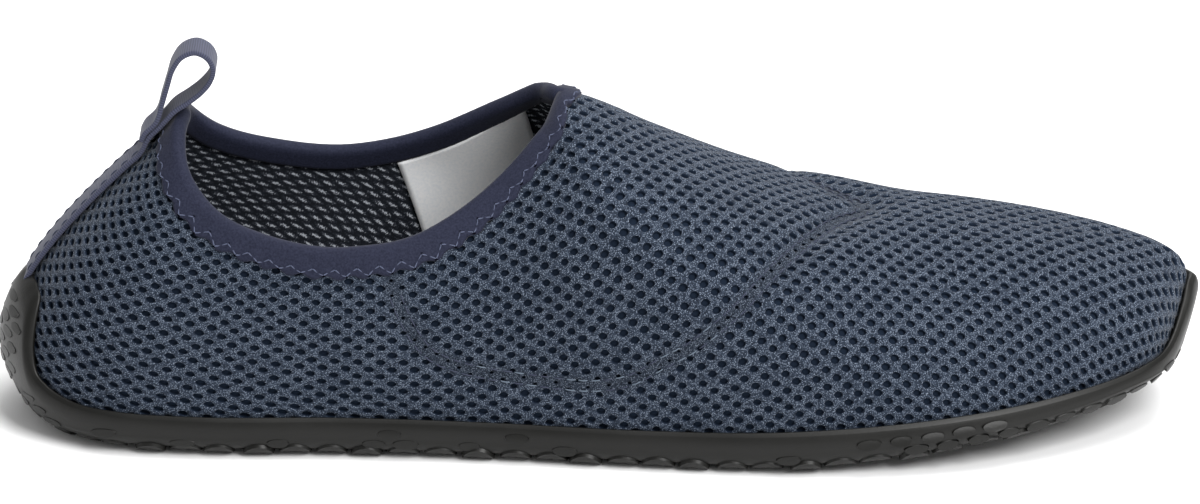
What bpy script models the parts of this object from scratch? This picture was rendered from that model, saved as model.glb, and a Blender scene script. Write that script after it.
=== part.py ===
"""Water shoe for the right foot: a mesh slip-on upper in a moulded rubber cup sole.

Metres. +X runs from heel to toe, -Y is the outer (little toe) side and +Z is up.
The origin is on the ground, in the middle of the outsole's length and width.
"""

import math
from collections import namedtuple

import bmesh
import bpy
import numpy as np
from mathutils import Vector
from mathutils.bvhtree import BVHTree

# Lengths and widths of the sole
SOLE_LENGTH = 0.280
HEEL_WIDTH = 0.068
BALL_WIDTH = 0.096
TOE_OFFSET = 0.008

# Heights above the ground
HEEL_HEIGHT = 0.0731
THROAT_HEIGHT = 0.0788
TOE_BOX_HEIGHT = 0.0394
INNER_SIDE_LIFT = 0.0085
RIM_SIDE_HEIGHT = 0.0102
RIM_HEEL_HEIGHT = 0.0345
RIM_TOE_HEIGHT = 0.0300

# Collar opening
COLLAR_WIDTH = 0.052

# Rubber
TOE_SPRING = 0.0120
HEEL_ROCKER = 0.0036
ARCH_LIFT = 0.0015
FLOOR_THICKNESS = 0.0034
RIM_WALL = 0.0024
SIDE_CORNER = 0.0040
END_CORNER = 0.0120
LUG_DEPTH = 0.0016
EDGE_LUG_PITCH = 0.0086
TREAD_PITCH = 0.0150
TREAD_LUG = 0.0100
LUG_DRAFT = 0.84
LUG_ROOT = 0.6
SHALLOW_LUG = 0.4
SHALLOW_EVERY = 3

# Edge lug's four corners: along the edge and inward, both as shares of its pitch, with the
# share of the bottom corner's radius that lies outside its outer points
EDGE_LUG_ALONG = (0.04, 0.50, 0.96, 0.50)
EDGE_LUG_INWARD = (0.12, 0.00, 0.12, 0.80)
EDGE_LUG_INSET = 0.42
EDGE_LUG_BAND = 0.75

# Tread lug, as shares of its length: the straight back's half width, the round front's reach
# and angles, and the margin to the edge lugs. Its rows stand closer than its columns.
TREAD_BACK = 0.86
TREAD_FRONT = 1.10
TREAD_FRONT_ANGLES = (-60, -20, 20, 60)
TREAD_MARGIN = 1.15
TREAD_ROWS = 0.8
TREAD_START = 0.75

# Fabric parts
UPPER_WALL = 0.0020
INSOLE_THICKNESS = 0.0030
BINDING_WIDTH = 0.0064
BINDING_THICKNESS = 0.0010
BINDING_INSIDE = 0.62
BINDING_DROPS = (1.00, 0.66, 0.33, 0.06)
TAPE_WIDTH = 0.0100
TAPE_THICKNESS = 0.0012
LOOP_HEIGHT = 0.0146
LOOP_WIDTH = 0.0115
LABEL_WIDTH = 0.030
LABEL_DROP = 0.024
LABEL_START = 0.325
LABEL_HANG = (0.30, 0.25, -1.00)
LABEL_THICKNESS = 0.0005

# Down from the collar's edge, as shares of the binding's width: where the tape steps up onto
# the binding, where the loop's back leg ends, and the tape's rows on the binding
TAPE_STEP = (1.30, 1.90)
LOOP_END = 1.65
TAPE_ON_BINDING = (0.70, 0.35, 0.0)

# Clearance between pieces that touch, then between the upper and the rubber, the binding and
# the label that curve with it
GAP = 0.0003
CUP_GAP = 0.0005
BINDING_GAP = 0.0008
LABEL_GAP = 0.0005

# Resolution
COLLAR_STATIONS = 25
VAMP_STATIONS = 17
RIB_STEPS = 11
CORNER_STEPS = 3
STATION_CROWDING = 0.60
TAPE_ROWS = 9
LABEL_STEPS = 5
DENSE = 400

OUTER, INNER = -1, 1
UP = np.array((0.0, 0.0, 1.0))
ACROSS_TAPE = np.array((-1, 0, 1))[:, None] * (0, TAPE_WIDTH / 2, 0)

# Outline of the sole from the heel to the toe. along is a share of the sole's length, and
# the distance from the middle line is of_heel x heel width + of_ball x ball width.
Edge = namedtuple("Edge", "along of_heel of_ball")
OUTER_EDGE = (
    Edge(0.009, 0.165, 0.000),
    Edge(0.032, 0.325, 0.000),
    Edge(0.079, 0.445, 0.000),
    Edge(0.161, 0.495, 0.000),
    Edge(0.286, 0.350, 0.108),
    Edge(0.411, 0.180, 0.255),
    Edge(0.536, 0.000, 0.430),
    Edge(0.660, 0.000, 0.464),
    Edge(0.768, 0.000, 0.446),
    Edge(0.857, 0.000, 0.380),
    Edge(0.929, 0.000, 0.275),
    Edge(0.975, 0.000, 0.155),
)
INNER_EDGE = (
    Edge(0.009, 0.165, 0.000),
    Edge(0.032, 0.325, 0.000),
    Edge(0.079, 0.440, 0.000),
    Edge(0.161, 0.480, 0.000),
    Edge(0.286, 0.300, 0.105),
    Edge(0.400, 0.160, 0.198),
    Edge(0.510, 0.000, 0.355),
    Edge(0.620, 0.000, 0.455),
    Edge(0.730, 0.000, 0.525),
    Edge(0.815, 0.000, 0.515),
    Edge(0.893, 0.000, 0.430),
    Edge(0.950, 0.000, 0.325),
    Edge(0.987, 0.000, 0.200),
)

# Ribs of the upper, from the back seam round to the toe. foot is how far round the sole edge
# the rib stands. Its top is at along (share of sole length), across (share of half the collar)
# and skew (share of the toe's offset). Its height is heel x heel height + throat x throat
# height + toe x toe box height, and lift is a share of the inner side's extra height.
# low, belly, high and slope shape the rib: the length of its lower handle as a share of its
# height, the handle's outward push as a share of the heel width, the length of its upper
# handle as a share of its span, and the upper handle's fall below level in degrees.
Rib = namedtuple("Rib", "foot along across skew heel throat toe lift low belly high slope")
THROAT = 0.545
RIBS = (
    Rib(0.000, 0.153, 0.00, 0.00, 1.00, 0.00, 0.00, 0.0, 0.34, 0.235, 0.24, 51),
    Rib(0.050, 0.150, 0.30, 0.00, 0.97, 0.00, 0.00, 0.2, 0.34, 0.185, 0.26, 56),
    Rib(0.100, 0.155, 0.58, 0.00, 0.89, 0.00, 0.00, 0.4, 0.36, 0.100, 0.30, 60),
    Rib(0.160, 0.178, 0.79, 0.00, 0.72, 0.05, 0.00, 0.6, 0.40, 0.065, 0.30, 68),
    Rib(0.240, 0.222, 0.93, 0.00, 0.52, 0.16, 0.00, 0.7, 0.42, 0.045, 0.31, 74),
    Rib(0.340, 0.296, 0.98, 0.00, 0.32, 0.31, 0.00, 0.8, 0.42, 0.040, 0.32, 73),
    Rib(0.420, 0.364, 0.87, 0.00, 0.16, 0.51, 0.00, 1.0, 0.42, 0.040, 0.34, 62),
    Rib(0.475, 0.418, 0.63, 0.00, 0.06, 0.73, 0.00, 0.9, 0.42, 0.045, 0.38, 46),
    Rib(0.515, 0.455, 0.34, 0.03, 0.02, 0.90, 0.00, 0.5, 0.43, 0.050, 0.42, 30),
    Rib(0.545, 0.470, 0.00, 0.08, 0.00, 1.00, 0.00, 0.0, 0.44, 0.050, 0.42, 18),
    Rib(0.575, 0.492, 0.00, 0.15, 0.00, 0.97, 0.00, 0.0, 0.45, 0.050, 0.42, 10),
    Rib(0.630, 0.545, 0.00, 0.30, 0.00, 0.765, 0.20, 0.0, 0.46, 0.045, 0.43, 5),
    Rib(0.700, 0.630, 0.00, 0.50, 0.00, 0.43, 0.575, 0.0, 0.46, 0.045, 0.44, 2),
    Rib(0.780, 0.722, 0.00, 0.75, 0.00, 0.13, 0.96, 0.0, 0.48, 0.045, 0.45, 0),
    Rib(0.830, 0.770, 0.00, 0.90, 0.00, 0.06, 1.07, 0.0, 0.50, 0.045, 0.46, 1),
    Rib(0.890, 0.830, 0.00, 1.00, 0.00, 0.02, 1.10, 0.0, 0.52, 0.045, 0.52, 4),
    Rib(0.950, 0.895, 0.00, 1.00, 0.00, 0.00, 1.07, 0.0, 0.54, 0.054, 0.64, 8),
    Rib(1.000, 0.938, 0.00, 1.00, 0.00, 0.00, 1.01, 0.0, 0.55, 0.060, 0.72, 10),
)

# Rubber rim round the sole edge. cup_heel and cup_toe say how much of the extra height of the
# heel cup and of the toe cup the rim has there, and end how round the bottom corner is.
Rim = namedtuple("Rim", "foot cup_heel cup_toe end")
RIM = (
    Rim(0.000, 1.00, 0.00, 0.85),
    Rim(0.030, 0.97, 0.00, 0.85),
    Rim(0.045, 0.87, 0.00, 0.80),
    Rim(0.053, 0.68, 0.00, 0.75),
    Rim(0.061, 0.44, 0.00, 0.70),
    Rim(0.068, 0.27, 0.00, 0.65),
    Rim(0.080, 0.16, 0.00, 0.58),
    Rim(0.100, 0.07, 0.00, 0.48),
    Rim(0.140, 0.02, 0.00, 0.25),
    Rim(0.200, 0.00, 0.00, 0.05),
    Rim(0.300, 0.00, 0.00, 0.00),
    Rim(0.620, 0.00, 0.03, 0.00),
    Rim(0.730, 0.00, 0.14, 0.05),
    Rim(0.830, 0.00, 0.26, 0.22),
    Rim(0.900, 0.00, 0.36, 0.42),
    Rim(0.940, 0.00, 0.44, 0.55),
    Rim(0.965, 0.00, 0.64, 0.65),
    Rim(0.983, 0.00, 0.90, 0.67),
    Rim(1.000, 0.00, 1.00, 0.68),
)

# Bottom of the shoe seen from the side, as shares of the sole's length
HEEL_FLAT_START = 0.09
ARCH_START, ARCH_END = 0.28, 0.56
SPRING_START = 0.63
SPRING_POWER = 1.4

# Pull loop's line above the back of the collar: forward is a share of the loop's width and up
# is a share of its height.
Bend = namedtuple("Bend", "forward up")
LOOP = (
    Bend(0.33, 0.10),
    Bend(0.59, 0.27),
    Bend(0.77, 0.45),
    Bend(0.85, 0.66),
    Bend(0.75, 0.87),
    Bend(0.45, 1.00),
    Bend(0.13, 0.91),
    Bend(-0.06, 0.70),
    Bend(-0.18, 0.41),
    Bend(-0.29, 0.12),
)


def smooth(xs, ys, at):
    """Values at the places `at` of a smooth curve through the points (xs, ys)."""
    xs, ys, at = np.asarray(xs, float), np.asarray(ys, float), np.asarray(at, float)
    slopes = np.gradient(ys, xs, axis=0)
    k = np.clip(np.searchsorted(xs, at, side="right") - 1, 0, len(xs) - 2)
    step = xs[k + 1] - xs[k]
    t = (at - xs[k]) / step
    if ys.ndim > 1:
        step, t = step[..., None], t[..., None]
    h00, h10 = (1 + 2 * t) * (1 - t) ** 2, t * (1 - t) ** 2
    h01, h11 = t * t * (3 - 2 * t), t * t * (t - 1)
    return h00 * ys[k] + h10 * step * slopes[k] + h01 * ys[k + 1] + h11 * step * slopes[k + 1]


def column(rows, name, at):
    """One named column of a table, read smoothly at the places `at` of its foot column."""
    return smooth([r.foot for r in rows], [getattr(r, name) for r in rows], at)


def unit(vectors):
    return vectors / np.linalg.norm(vectors, axis=-1, keepdims=True)


def edge_points(rows, side):
    return [
        (r.along * SOLE_LENGTH, side * (r.of_heel * HEEL_WIDTH + r.of_ball * BALL_WIDTH))
        for r in rows
    ]


def half_outlines():
    """The sole's outline as two dense lines from the heel to the toe, one for each side."""
    outer = edge_points(OUTER_EDGE, OUTER)
    inner = edge_points(INNER_EDGE, INNER)
    loop = np.array([(0.0, 0.0), *outer, (SOLE_LENGTH, TOE_OFFSET), *inner[::-1]])
    toe = 1 + len(outer)
    wrap = 3
    around = np.vstack((loop[-wrap:], loop, loop[:wrap + 1]))
    steps = np.sqrt(np.linalg.norm(np.diff(around, axis=0), axis=1))
    travel = np.concatenate(([0.0], np.cumsum(steps)))
    start, middle, end = travel[wrap], travel[wrap + toe], travel[wrap + len(loop)]
    lines = {
        OUTER: smooth(travel, around, np.linspace(start, middle, DENSE)),
        INNER: smooth(travel, around, np.linspace(end, middle, DENSE)),
    }
    return lines


OUTLINES = half_outlines()
MIDDLE_X = SOLE_LENGTH / 2
MIDDLE_Y = (OUTLINES[INNER][:, 1].max() + OUTLINES[OUTER][:, 1].min()) / 2


def outline_at(side, share):
    """Points of the sole's outline and their outward directions, at shares of the way round."""
    line = OUTLINES[side]
    travel = np.concatenate(([0.0], np.cumsum(np.linalg.norm(np.diff(line, axis=0), axis=1))))
    travel /= travel[-1]
    along = np.gradient(line, travel, axis=0)
    out = unit(side * np.stack((-along[:, 1], along[:, 0]), axis=1))
    out[0], out[-1] = (-1.0, 0.0), (1.0, 0.0)
    place = np.stack([np.interp(share, travel, line[:, k]) for k in (0, 1)], axis=-1)
    facing = unit(np.stack([np.interp(share, travel, out[:, k]) for k in (0, 1)], axis=-1))
    zeros = np.zeros(place.shape[:-1] + (1,))
    return np.concatenate((place, zeros), -1), np.concatenate((facing, zeros), -1)


def rise(points):
    """How far the sole's bottom lies above its flat spots: heel rocker, arch and toe spring."""
    along = points[..., 0] / SOLE_LENGTH
    heel = np.clip((HEEL_FLAT_START - along) / HEEL_FLAT_START, 0, 1) ** 2
    toe = np.clip((along - SPRING_START) / (1 - SPRING_START), 0, 1) ** SPRING_POWER
    waist = np.clip((along - ARCH_START) / (ARCH_END - ARCH_START), 0, 1)
    inner = np.clip(points[..., 1] / (HEEL_WIDTH / 2), 0, 1)
    return HEEL_ROCKER * heel + TOE_SPRING * toe + ARCH_LIFT * inner * np.sin(np.pi * waist) ** 2


def base_height(points):
    """Height of the rubber's underside between the lugs."""
    return LUG_DEPTH + rise(points)


def stations():
    """The side and foot share of each rib, in one ring: heel, outer side, toe, inner side."""

    def crowded(count):
        t = np.linspace(0, 1, count + 1)
        return t - STATION_CROWDING * np.sin(2 * np.pi * t) / (2 * np.pi)

    collar = crowded(COLLAR_STATIONS) * THROAT
    vamp = THROAT + crowded(VAMP_STATIONS)[1:] * (1 - THROAT)
    shares = np.concatenate((collar, vamp))
    sides = np.array([OUTER] * len(shares) + [INNER] * (len(shares) - 2))
    return sides, np.concatenate((shares, shares[-2:0:-1]))


SIDES, SHARES = stations()
RING = len(SHARES)
TOE_STATION = COLLAR_STATIONS + VAMP_STATIONS


def corner_radius(shares):
    """Radius of the rubber's bottom corner, at shares of the way round the sole."""
    return SIDE_CORNER + (END_CORNER - SIDE_CORNER) * column(RIM, "end", shares)


def both_sides(function):
    """Fills a ring of values from a function of one side's shares."""
    outer, inner = function(OUTER, SHARES), function(INNER, SHARES)
    pick = SIDES if outer.ndim == 1 else SIDES[:, None]
    return np.where(pick == OUTER, outer, inner)


EDGE = both_sides(lambda side, share: outline_at(side, share)[0])
OUTWARD = both_sides(lambda side, share: outline_at(side, share)[1])
CORNER = corner_radius(SHARES)
BOTTOM_EDGE = EDGE - OUTWARD * CORNER[:, None]
BASE_Z = base_height(BOTTOM_EDGE)
FLOOR_Z = BASE_Z + FLOOR_THICKNESS
RIM_Z = (
    RIM_SIDE_HEIGHT
    + (RIM_HEEL_HEIGHT - RIM_SIDE_HEIGHT) * column(RIM, "cup_heel", SHARES)
    + (RIM_TOE_HEIGHT - RIM_SIDE_HEIGHT) * column(RIM, "cup_toe", SHARES)
)


def corner_inset(height):
    """How far inside the outline the rubber's rounded corner is, at a height above its base."""
    reach = np.clip(CORNER - height, 0, CORNER)
    return CORNER - np.sqrt(CORNER**2 - reach**2)


def rib_tops():
    """The top end of each rib, on the collar's edge or on the ridge over the toes."""
    read = {name: column(RIBS, name, SHARES) for name in Rib._fields[1:8]}
    on_vamp = SHARES > THROAT - 1e-6
    across = np.where(on_vamp, 0.0, read["across"]) * COLLAR_WIDTH / 2
    height = (
        read["heel"] * HEEL_HEIGHT
        + read["throat"] * THROAT_HEIGHT
        + read["toe"] * TOE_BOX_HEIGHT
        + np.where((SIDES == INNER) & ~on_vamp, read["lift"], 0.0) * INNER_SIDE_LIFT
    )
    return np.stack(
        (read["along"] * SOLE_LENGTH, SIDES * across + read["skew"] * TOE_OFFSET, height), axis=1
    )


def ribs(steps):
    """Points up every rib of the upper's outer face, from the sole's floor to the top."""
    foot_inset = corner_inset(FLOOR_THICKNESS) + RIM_WALL + CUP_GAP
    foot = EDGE - OUTWARD * foot_inset[:, None] + UP * (FLOOR_Z + GAP)[:, None]
    top = rib_tops()
    height = top[:, 2] - foot[:, 2]
    span = np.linalg.norm(top - foot, axis=1)
    low, belly, high, slope = (column(RIBS, n, SHARES) for n in ("low", "belly", "high", "slope"))
    fall = np.radians(slope)
    lower = foot + UP * (low * height)[:, None] + OUTWARD * (belly * HEEL_WIDTH)[:, None]
    lean = OUTWARD * np.cos(fall)[:, None] - UP * np.sin(fall)[:, None]
    upper = top + lean * (high * span)[:, None]
    t = np.linspace(0, 1, steps + 1)[None, :, None]
    a, b, c, d = (p[:, None, :] for p in (foot, lower, upper, top))
    return a * (1 - t) ** 3 + 3 * b * t * (1 - t) ** 2 + 3 * c * t * t * (1 - t) + d * t**3


def partner(station):
    """The station across the shoe from this one."""
    return (RING - station) % RING


def facings(grid):
    """Outward direction of the surface at every point of a grid of ribs."""
    along = np.roll(grid, -1, axis=0) - np.roll(grid, 1, axis=0)
    up = np.gradient(grid, axis=1)
    along[TOE_STATION, -1] = along[TOE_STATION, -2]
    out = unit(np.cross(along, up))
    for station in range(COLLAR_STATIONS, TOE_STATION + 1):
        across = partner(station)
        both = unit(out[station, -1] + out[across, -1])
        out[station, -1] = out[across, -1] = both
    return out


def at_height(grid, out, heights, offset):
    """The point of each rib at a height, moved outward by the offset."""
    found = []
    for rib, facing, height in zip(grid, out, heights):
        place = [np.interp(height, rib[:, 2], rib[:, k]) for k in (0, 1)]
        push = [np.interp(height, rib[:, 2], facing[:, k]) for k in (0, 1)]
        length = math.hypot(*push)
        found.append([p + offset * f / length for p, f in zip(place, push)] + [height])
    return np.array(found)


def to_frame(points):
    """From the drawing frame, whose origin is the back of the heel, to the part's frame."""
    return np.asarray(points) - (MIDDLE_X, MIDDLE_Y, 0)


def new_object(name, bm, collection):
    mesh = bpy.data.meshes.new(name)
    if all(edge.is_manifold for edge in bm.edges):
        bmesh.ops.recalc_face_normals(bm, faces=bm.faces)
    bm.to_mesh(mesh)
    bm.free()
    mesh.shade_smooth()
    mesh.set_sharp_from_angle(angle=math.radians(35))
    obj = bpy.data.objects.new(name, mesh)
    collection.objects.link(obj)
    return obj


def grid_mesh(rows, close_rows=False, close_columns=False):
    """A bmesh of quads between neighbouring rows of points, facing row x column direction."""
    bm = bmesh.new()
    verts = [[bm.verts.new(p) for p in to_frame(row)] for row in rows]
    count, width = len(verts), len(verts[0])
    for r in range(count if close_rows else count - 1):
        for c in range(width if close_columns else width - 1):
            a, b = verts[r], verts[(r + 1) % count]
            d = (c + 1) % width
            bm.faces.new((a[c], b[c], b[d], a[d]))
    return bm, verts


def bridge_sides(bm, ring):
    """Closes a ring of vertices with strips straight across from its outer to its inner side."""
    for station in range(TOE_STATION):
        corners = (station, station + 1, partner(station + 1), partner(station))
        used = list(dict.fromkeys(corners))
        bm.faces.new([ring[k] for k in used])


def thicken(obj, thickness, outward):
    shell = obj.modifiers.new("wall", "SOLIDIFY")
    shell.thickness = thickness
    shell.offset = 1.0 if outward else -1.0
    return obj


def material(name, colour, roughness):
    made = bpy.data.materials.new(name)
    made.use_nodes = True
    shader = made.node_tree.nodes["Principled BSDF"]
    shader.inputs["Base Color"].default_value = (*colour, 1.0)
    shader.inputs["Roughness"].default_value = roughness
    shader.inputs["Metallic"].default_value = 0.0
    return made


def paint(obj, finish):
    obj.data.materials.clear()
    obj.data.materials.append(finish)


def build_upper(collection, grid):
    """The mesh upper: one hollow wall, open at the collar and where the sole closes it."""
    bm, verts = grid_mesh(grid, close_rows=True)
    bmesh.ops.remove_doubles(bm, verts=bm.verts, dist=GAP / 10)
    return thicken(new_object("upper", bm, collection), UPPER_WALL, outward=False)


def wall_rings(grid, out, foot, top, offset):
    """Rings up the wall at the heights of the ribs' own points, stopped at the wall's top."""
    rings = [at_height(grid, out, foot, offset)]
    for step in range(1, grid.shape[1]):
        height = np.clip(grid[:, step, 2], foot, top)
        rings.append(at_height(grid, out, height, offset))
        if (height == top).all():
            break
    return rings


def sole_rings(grid, out):
    """Closed rings round the cup sole: under corner, outer wall, rim, inner wall and floor."""
    rings = []
    turn = np.arccos(np.clip((CORNER - FLOOR_THICKNESS) / CORNER, 0, 1))
    for part in np.arange(CORNER_STEPS) / CORNER_STEPS:
        inset = CORNER * (1 - np.sin(turn * part))
        height = BASE_Z + CORNER * (1 - np.cos(turn * part))
        rings.append(EDGE - OUTWARD * inset[:, None] + UP * height[:, None])
    foot, top = FLOOR_Z + GAP, RIM_Z - RIM_WALL / 4
    rings += wall_rings(grid, out, foot, top, CUP_GAP + RIM_WALL)
    rings.append(at_height(grid, out, RIM_Z, CUP_GAP + RIM_WALL / 2))
    rings += wall_rings(grid, out, foot, top, CUP_GAP)[::-1]
    floor = at_height(grid, out, foot, CUP_GAP)
    floor[:, 2] = FLOOR_Z
    rings.append(floor)
    return rings


def build_outsole(collection, helpers, grid, out):
    """The moulded cup sole with its lugs fused on."""
    bm, verts = grid_mesh(sole_rings(grid, out), close_columns=True)
    bridge_sides(bm, verts[0])
    bridge_sides(bm, verts[-1])
    bmesh.ops.remove_doubles(bm, verts=bm.verts, dist=GAP / 10)
    sole = new_object("outsole", bm, collection)
    lugs = build_lugs(helpers)
    join = sole.modifiers.new("lugs", "BOOLEAN")
    join.operation = "UNION"
    join.solver = "EXACT"
    join.use_self = True
    join.object = lugs
    return sole


def lug_block(bm, outline, depth):
    """A lug over a flat outline: it narrows to a foot that follows the sole's bottom."""
    outline = np.asarray(outline)
    middle = outline.mean(axis=0)
    narrow = middle + (outline - middle) * LUG_DRAFT
    foot = narrow + UP * (rise(outline) + LUG_DEPTH - depth)[:, None]
    head = outline + UP * (rise(outline) + LUG_DEPTH + FLOOR_THICKNESS * LUG_ROOT)[:, None]
    low = [bm.verts.new(p) for p in to_frame(foot)]
    high = [bm.verts.new(p) for p in to_frame(head)]
    bm.faces.new(low[::-1])
    bm.faces.new(high)
    for k in range(len(low)):
        j = (k + 1) % len(low)
        bm.faces.new((low[k], low[j], high[j], high[k]))


def edge_lugs(bm):
    """Pointed scales side by side round the bottom edge, every third one shallower."""
    for side in (OUTER, INNER):
        line = OUTLINES[side]
        length = np.linalg.norm(np.diff(line, axis=0), axis=1).sum()
        count = int(length / EDGE_LUG_PITCH)
        for k in range(count):
            spots = (k + np.array(EDGE_LUG_ALONG)) / count
            place, out = outline_at(side, spots)
            inset = corner_radius(spots) * EDGE_LUG_INSET
            inset += EDGE_LUG_PITCH * np.array(EDGE_LUG_INWARD)
            shallow = k % SHALLOW_EVERY == SHALLOW_EVERY - 1
            depth = LUG_DEPTH * (SHALLOW_LUG if shallow else 1.0)
            lug_block(bm, (place - out * inset[:, None])[::side], depth)


def tread_edge(side):
    """x and y of the line inside the edge lugs on one side, over the stretch where x rises."""
    share = np.linspace(0.002, 0.998, DENSE)
    place, out = outline_at(side, share)
    inset = (corner_radius(share) + SIDE_CORNER) / 2 + EDGE_LUG_PITCH * EDGE_LUG_BAND
    line = place - out * inset[:, None]
    rising = np.maximum.accumulate(line[:, 0])
    keep = np.concatenate(([True], np.diff(rising) > 0))
    return line[keep, 0], line[keep, 1]


def tread_lugs(bm):
    """Scale-shaped lugs in staggered rows over the rest of the bottom."""
    row_step = TREAD_PITCH * TREAD_ROWS
    half = TREAD_LUG / 2
    scale = [(-half, half * TREAD_BACK), (-half, -half * TREAD_BACK)]
    for turn in np.radians(TREAD_FRONT_ANGLES):
        scale.append((half * TREAD_FRONT * math.cos(turn), half * math.sin(turn)))
    edges = {side: tread_edge(side) for side in (OUTER, INNER)}
    back = max(x[0] for x, y in edges.values())
    front = min(x[-1] for x, y in edges.values())
    for row in range(int(SOLE_LENGTH / row_step)):
        x = (row + TREAD_START) * row_step
        ends = (x - half, x + half)
        if ends[0] < back or ends[1] > front:
            continue
        low = np.interp(ends, *edges[OUTER]).max() + half * TREAD_MARGIN
        high = np.interp(ends, *edges[INNER]).min() - half * TREAD_MARGIN
        shift = (row % 2) / 2
        first = math.ceil(low / TREAD_PITCH - shift)
        last = math.floor(high / TREAD_PITCH - shift)
        for k in range(first, last + 1):
            y = (k + shift) * TREAD_PITCH
            lug_block(bm, [(x + dx, y + dy, 0.0) for dx, dy in scale], LUG_DEPTH)


def build_lugs(helpers):
    bm = bmesh.new()
    edge_lugs(bm)
    tread_lugs(bm)
    lugs = new_object("lug_blocks", bm, helpers)
    lugs.hide_render = True
    lugs.display_type = "WIRE"
    return lugs


def build_insole(collection, grid, out):
    """The footbed, lying on the sole's floor inside the upper."""
    inset = -(UPPER_WALL + 2 * GAP)
    low = FLOOR_Z + GAP
    edge = INSOLE_THICKNESS / 4
    rings = []
    for lift, extra in ((0, -edge), (edge, 0), (INSOLE_THICKNESS, -edge)):
        ring = at_height(grid, out, low + GAP + lift, inset + extra)
        ring[:, 2] = low + lift
        rings.append(ring)
    bm, verts = grid_mesh(rings, close_columns=True)
    bridge_sides(bm, verts[0])
    bridge_sides(bm, verts[-1])
    return new_object("insole", bm, collection)


Collar = namedtuple("Collar", "edge facing down")


def collar_frame(grid, out):
    """The collar's edge as a ring, with the surface's outward direction and the way down it."""
    ring = list(range(COLLAR_STATIONS + 1)) + [partner(k) for k in range(COLLAR_STATIONS - 1, 0, -1)]
    edge, facing = grid[ring, -1], out[ring, -1]
    along = unit(np.roll(edge, -1, axis=0) - np.roll(edge, 1, axis=0))
    facing = unit(facing - along * (facing * along).sum(axis=1, keepdims=True))
    down = unit(np.cross(along, facing))
    return Collar(edge, facing, down)


def surface_tree(grid):
    """Search tree of the upper's outer face, as faceted as the upper itself."""
    bm, verts = grid_mesh(grid, close_rows=True)
    bm.normal_update()
    tree = BVHTree.FromBMesh(bm)
    bm.free()
    return tree


def on_surface(tree, point, offset):
    """The upper's surface nearest to a point, moved outward by the offset."""
    place, normal = tree.find_nearest(Vector(to_frame(point)))[:2]
    return np.array(place + normal * offset) + (MIDDLE_X, MIDDLE_Y, 0)


def build_binding(collection, collar, tree):
    """The folded tape round the collar's edge."""
    outside, inside = BINDING_GAP, -(UPPER_WALL + BINDING_GAP)
    fold = UPPER_WALL / 4
    rows = []
    for edge, facing, down in zip(*collar):
        drops = [edge + down * BINDING_WIDTH * part for part in BINDING_DROPS]
        inner_drops = (drops[-1], edge + down * BINDING_WIDTH * BINDING_INSIDE)
        crest = edge - down * BINDING_GAP
        row = [on_surface(tree, place, outside) for place in drops]
        row += [crest + facing * (outside - fold), crest + facing * (inside + fold)]
        row += [on_surface(tree, place, inside) for place in inner_drops]
        rows.append(row)
    bm, verts = grid_mesh(rows, close_rows=True)
    return thicken(new_object("collar_binding", bm, collection), BINDING_THICKNESS, outward=True)


def tape_row(seam, tree, distance, layer):
    """Three points across the tape, this far down the back seam from the collar's edge."""
    travel = np.linalg.norm(seam - seam[-1], axis=1)
    place = seam[np.abs(travel - distance).argmin()]
    step = np.clip((TAPE_STEP[1] - distance / BINDING_WIDTH) / (TAPE_STEP[1] - TAPE_STEP[0]), 0, 1)
    lift = GAP + step * (BINDING_GAP + BINDING_THICKNESS) + layer * (TAPE_THICKNESS + GAP) * 2
    return [on_surface(tree, place + side, lift) for side in ACROSS_TAPE]


def build_pull_tape(collection, grid, tree):
    """The tape up the back seam and its pull loop, one strip sewn down onto itself."""
    level, rib_level = np.linspace(0, 1, DENSE), np.linspace(0, 1, grid.shape[1])
    seam = np.stack([np.interp(level, rib_level, grid[0, :, k]) for k in range(3)], axis=1)
    seam = seam[seam[:, 2] > RIM_HEEL_HEIGHT + GAP * 2]
    start = np.linalg.norm(seam[0] - seam[-1])
    upper_rows = [share * BINDING_WIDTH for share in (*TAPE_STEP[::-1], *TAPE_ON_BINDING)]
    sewn = [*np.linspace(start, upper_rows[0], TAPE_ROWS)[:-1], *upper_rows]
    rows = [tape_row(seam, tree, distance, 0) for distance in sewn]
    top = rows[-1][1] + UP * (BINDING_THICKNESS + BINDING_GAP)
    for bend in LOOP:
        rows.append(top + (bend.forward * LOOP_WIDTH, 0, bend.up * LOOP_HEIGHT) + ACROSS_TAPE)
    landing = [share * BINDING_WIDTH for share in (TAPE_ON_BINDING[0], TAPE_STEP[0], LOOP_END)]
    rows += [tape_row(seam, tree, distance, 1) for distance in landing]
    bm, verts = grid_mesh(rows)
    return thicken(new_object("pull_tape", bm, collection), TAPE_THICKNESS, outward=True)


def build_label(collection, collar, tree):
    """The blank label hanging from under the binding, inside the inner side of the shoe."""
    inner = [k for k in range(len(collar.edge)) if collar.edge[k, 1] > 0]
    order = sorted(inner, key=lambda k: collar.edge[k, 0])
    line = collar.edge[order]
    start = LABEL_START * SOLE_LENGTH
    hang = unit(np.array(LABEL_HANG))
    under_binding = BINDING_WIDTH * BINDING_INSIDE + BINDING_THICKNESS * 2
    drops = under_binding + np.linspace(0, LABEL_DROP, LABEL_STEPS)
    rows = []
    for x in np.linspace(start, start + LABEL_WIDTH, LABEL_STEPS):
        edge = np.array([np.interp(x, line[:, 0], line[:, k]) for k in range(3)])
        rows.append([on_surface(tree, edge + hang * drop, -(UPPER_WALL + LABEL_GAP)) for drop in drops])
    bm, verts = grid_mesh(rows)
    return thicken(new_object("label", bm, collection), LABEL_THICKNESS, outward=False)


def clear_scene():
    for obj in list(bpy.data.objects):
        bpy.data.objects.remove(obj, do_unlink=True)


def new_collection(name):
    made = bpy.data.collections.new(name)
    bpy.context.scene.collection.children.link(made)
    return made


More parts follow.
